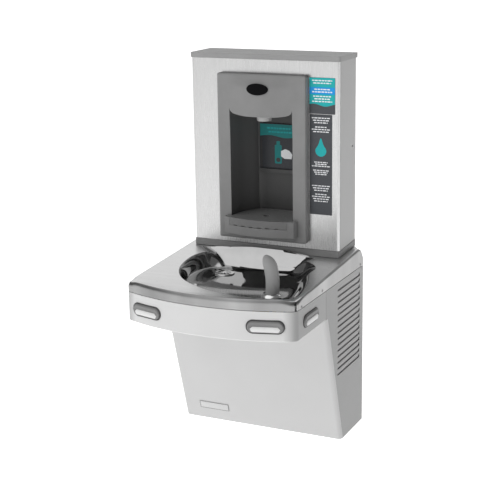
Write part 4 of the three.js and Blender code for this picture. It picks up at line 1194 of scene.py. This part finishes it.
def build_alcove():
    """The moulded front frame with its bulging hood, and the recess behind it."""
    near = (0, 0.3, 0.8, 1.5, 2.4, 3.5, 4.7, 6)
    xs = [d - BEZEL_HALF for d in near] + list(np.linspace(8 - BEZEL_HALF, BEZEL_HALF - 8, 61))
    xs += [BEZEL_HALF - d for d in reversed(near)]
    zs = [BEZEL_BOTTOM + d for d in near] + list(np.linspace(BEZEL_BOTTOM + 9, HOOD_EDGE - 62, 16))
    zs += list(np.linspace(HOOD_EDGE - 60, BEZEL_TOP - 8, 56)) + [BEZEL_TOP - d for d in reversed(near)]
    verts = [(x, bezel_face(x, z), z) for x in xs for z in zs]
    verts += [(x, BEZEL_REAR, z) for x in xs for z in zs]
    housing = make("alcove_housing_shell", verts, sheet_faces(len(xs), len(zs)), "bezel", "alcove_housing",
                   angle=40)

    def trim(operation, outline, axis, ends):
        combine(housing, [prism("tool", outline, axis, ends)], operation)

    corners = rounded_rect(-BEZEL_HALF, BEZEL_HALF, BEZEL_BOTTOM, BEZEL_TOP, BEZEL_ROUND)
    trim("INTERSECT", corners, Y, (-200, -50))
    trim("UNION", alcove_plan(-122, -2.5), Z, (TRAY_BOTTOM - 2, ALCOVE_CEILING + 3))
    trim("DIFFERENCE", alcove_plan(-140.5), Z, (TRAY_BOTTOM + 0.5, ALCOVE_CEILING))
    mouth = mirrored([(ALCOVE_HALF, TRAY_BOTTOM + 0.5)] + spline(MOUTH_ARCH, 24, False))
    trim("DIFFERENCE", mouth, Y, (-220, -138))
    reach = ALCOVE_HALF - 4
    inside = [(x, min(-130, bezel_face(x, 900) + 4)) for x in np.linspace(-reach, reach, 33)]
    for y, ends in ((-125, (HOOD_EDGE - 20, ALCOVE_CEILING)), (-100, (ALCOVE_CEILING + 3, 918))):
        trim("DIFFERENCE", inside + [(reach, y), (-reach, y)], Z, ends)
    housing.data.materials.clear()
    for key in ("bezel", "liner"):
        housing.data.materials.append(M[key])
    # faces inside the mouth take the liner's darker plastic: painted shade in the recess
    for face in housing.data.polygons:
        flank = abs(face.normal.x) > 0.9 and abs(face.center.x) > 0.11
        face.material_index = 1 if face.center.y > -0.1375 and not flank else 0
    crease_shading(housing.data, 30)


def build_tray():
    softened("drip_tray", "drip_tray_moulding", 1.3, "tray", 4, 35)
    softened("drip_insert", "drip_grille_moulding", 0.7, "grille", 3, 35)


def build_nozzle():
    lathe("bottle_nozzle_ring", (
        (5, 0), (15.5, 0), (17.6, 0.5), (19, 1.8), (19.5, 4), (19.5, 37.6), (7, 37.6), (7, 52), (5, 52),
    ), NOZZLE, "nozzle", "bottle_nozzle", 64, True)


# ---- printed graphics


def bar_row(name, x0, x1, z, height, y, finish, ragged=0):
    """A row of short bars like a line of print, without any letters."""
    gap = 1.6
    x = x0
    index = 0
    while x < x1 - 2:
        width = 5 + 4 * ((index * 7 + ragged * 3) % 4) / 3
        end = min(x1, x + width)
        bar = rounded_rect(x, end, z, z + height, min(height, end - x) * 0.3, 2)
        plate(f"{name}_{index}", bar, y, y - 0.06, finish)
        x = end + gap
        index += 1


def droplet(name, cx, cz, radius, y, finish, steps=40):
    points = []
    for i in range(steps):
        a = 2 * math.pi * i / steps
        upward = max(0.0, math.cos(a))
        points.append((cx + radius * math.sin(a) * (1 - 0.32 * upward**2),
                       cz + radius * (1 + 1.15 * upward**7) * math.cos(a)))
    plate(name, points, y, y - 0.06, finish)


def build_labels():
    y = LABEL_FACE
    plate("label_lower_print", rounded_rect(127, 188, 594, 852.5, 2), y, y - 0.35, "label_dark", 0.15,
          "label_lower")
    plate("label_upper_base", rounded_rect(126, 196, 853.5, 945, 2), y, y - 0.35, "label_dark", 0.15,
          "label_upper")
    top = y - 0.37
    left, right, upper, lower = 126.6, 195.4, 944.4, 876
    wave = [(left, upper), (left, lower)]
    for i in range(25):
        u = i / 24
        wave.append((left + (right - left) * u, lower + 3.2 * math.sin(2 * math.pi * u * 1.1 + 0.4)))
    wave.append((right, upper))
    plate("label_upper_teal", wave, top, top - 0.05, "label_teal")
    blue = rounded_rect(left, right, 903, 921, 0.5, 2)
    plate("label_upper_blue", blue, top - 0.06, top - 0.1, "label_blue")
    for index, (z, ragged) in enumerate(UPPER_LINES):
        edge = 6 + 3 * (ragged % 3)
        bar_row(f"label_upper_line_{index}", 128 + edge, 194 - edge, z, 3, top - 0.12, "label_white", ragged)
    for index, z in enumerate(LOWER_LINES):
        edge = 4 + 3 * ((index * 5) % 4)
        bar_row(f"label_lower_line_{index}", 129 + edge, 186 - edge, z, 2.6, top - 0.02, "label_white", index)
    droplet("label_drop", 157.5, 760, 15, top - 0.02, "label_teal")


def build_sensor():
    plate("sensor_window", rounded_rect(-52, 52, 677, 809, 4), -33.1, -35.8, "panel_dark", 0.8,
          "sensor_panel")
    # the ledge takes the liner's darker plastic: painted shade
    plate("sensor_ledge", rounded_rect(-50, 50, 677.5, 688, 2), -35.5, -43, "liner", 1.2)
    face = SENSOR_FACE
    wave = [(-50, 806.5), (-50, 775)]
    for i in range(21):
        u = i / 20
        wave.append((-50 + 100 * u, 774 + 3 * math.sin(2 * math.pi * u)))
    wave.append((50, 806.5))
    plate("sensor_teal_band", wave, face, face - 0.05, "label_deep")
    bar_row("sensor_line_a", -30, 40, 794, 4, face - 0.07, "label_teal", 1)
    bar_row("sensor_line_b", -26, 44, 784, 4, face - 0.07, "label_teal", 2)
    plate("sensor_bottle", rounded_rect(-8, 12, 702, 752, 3), face, face - 0.06, "label_deep")
    plate("sensor_bottle_neck", rounded_rect(-3, 7, 752, 762, 1.5), face, face - 0.06, "label_deep")
    plate("sensor_eye", ellipse(2, 712, 6, 6, 24), face - 0.08, face - 0.3, "black")
    hand = [(10, 722), (20, 716), (40, 716), (42, 728), (34, 738), (22, 742), (10, 736)]
    plate("sensor_hand", hand, face - 0.08, face - 0.13, "label_white")
    # a flat black strip standing for the shadowed slot at the panel's left edge: painted shade
    plate("sensor_slot_painted_shade", rounded_rect(-50, -44, 690, 770, 1.5), face, face - 0.1, "black")


def build_badge():
    """A blank oval badge that follows the hood, in rings by their share of its size and their height."""
    rings = []
    for share, height in ((1, 1.55), (1, 2.75), (0.96, 3.05), (0.7, 3.1), (0.4, 3.1), (0.1, 3.1)):
        oval = ellipse(0, BADGE_Z, 30 * share, 15 * share, 56)
        rings.append([(x, bezel_face(x, min(z, BADGE_Z)) - height, z) for x, z in oval])
    rings_solid("badge_oval", rings, "badge", "badge", angle=40)


# ---- CAD nodes


def dress_cad():
    """Gives each CAD node that stays, and the springs that are copied, its material."""
    finish_of = {
        "zinc": ("wall_bracket", "chassis_back", "chassis_floor", "tower_back_plate"),
        "chrome": ("bubbler_nozzle", "drain_tailpiece"),
        "brass": ("bubbler_shank", "inlet_valve", "bubbler_valve", "filler_valve"),
        "white": ("waste_trap", "cold_tank", "filter_head", "filter_cartridge"),
        "enamel_black": ("compressor", "fan_motor"),
        "copper": ("condenser",),
        "black": ("fan_shroud", "fan_blade", "control_box",
                  *(f"pad_switch_{name}" for name, _, _ in PAD_PLACES)),
        "blue": ("bubbler_tube", "filler_tube"),
        "screw": [f"pad_spring_{name}" for name, _, _ in PAD_PLACES],
    }
    for key, names in finish_of.items():
        for name in names:
            mesh = nodes[name].data
            mesh.materials.clear()
            mesh.materials.append(M[key])


for build in (
    build_camera, build_studio, dress_cad, build_basin, build_apron, build_front_panel, build_side_panels,
    build_nameplate, build_pads, build_bubbler, build_drain, build_tower, build_alcove, build_tray,
    build_nozzle, build_labels, build_sensor, build_badge,
):
    build()
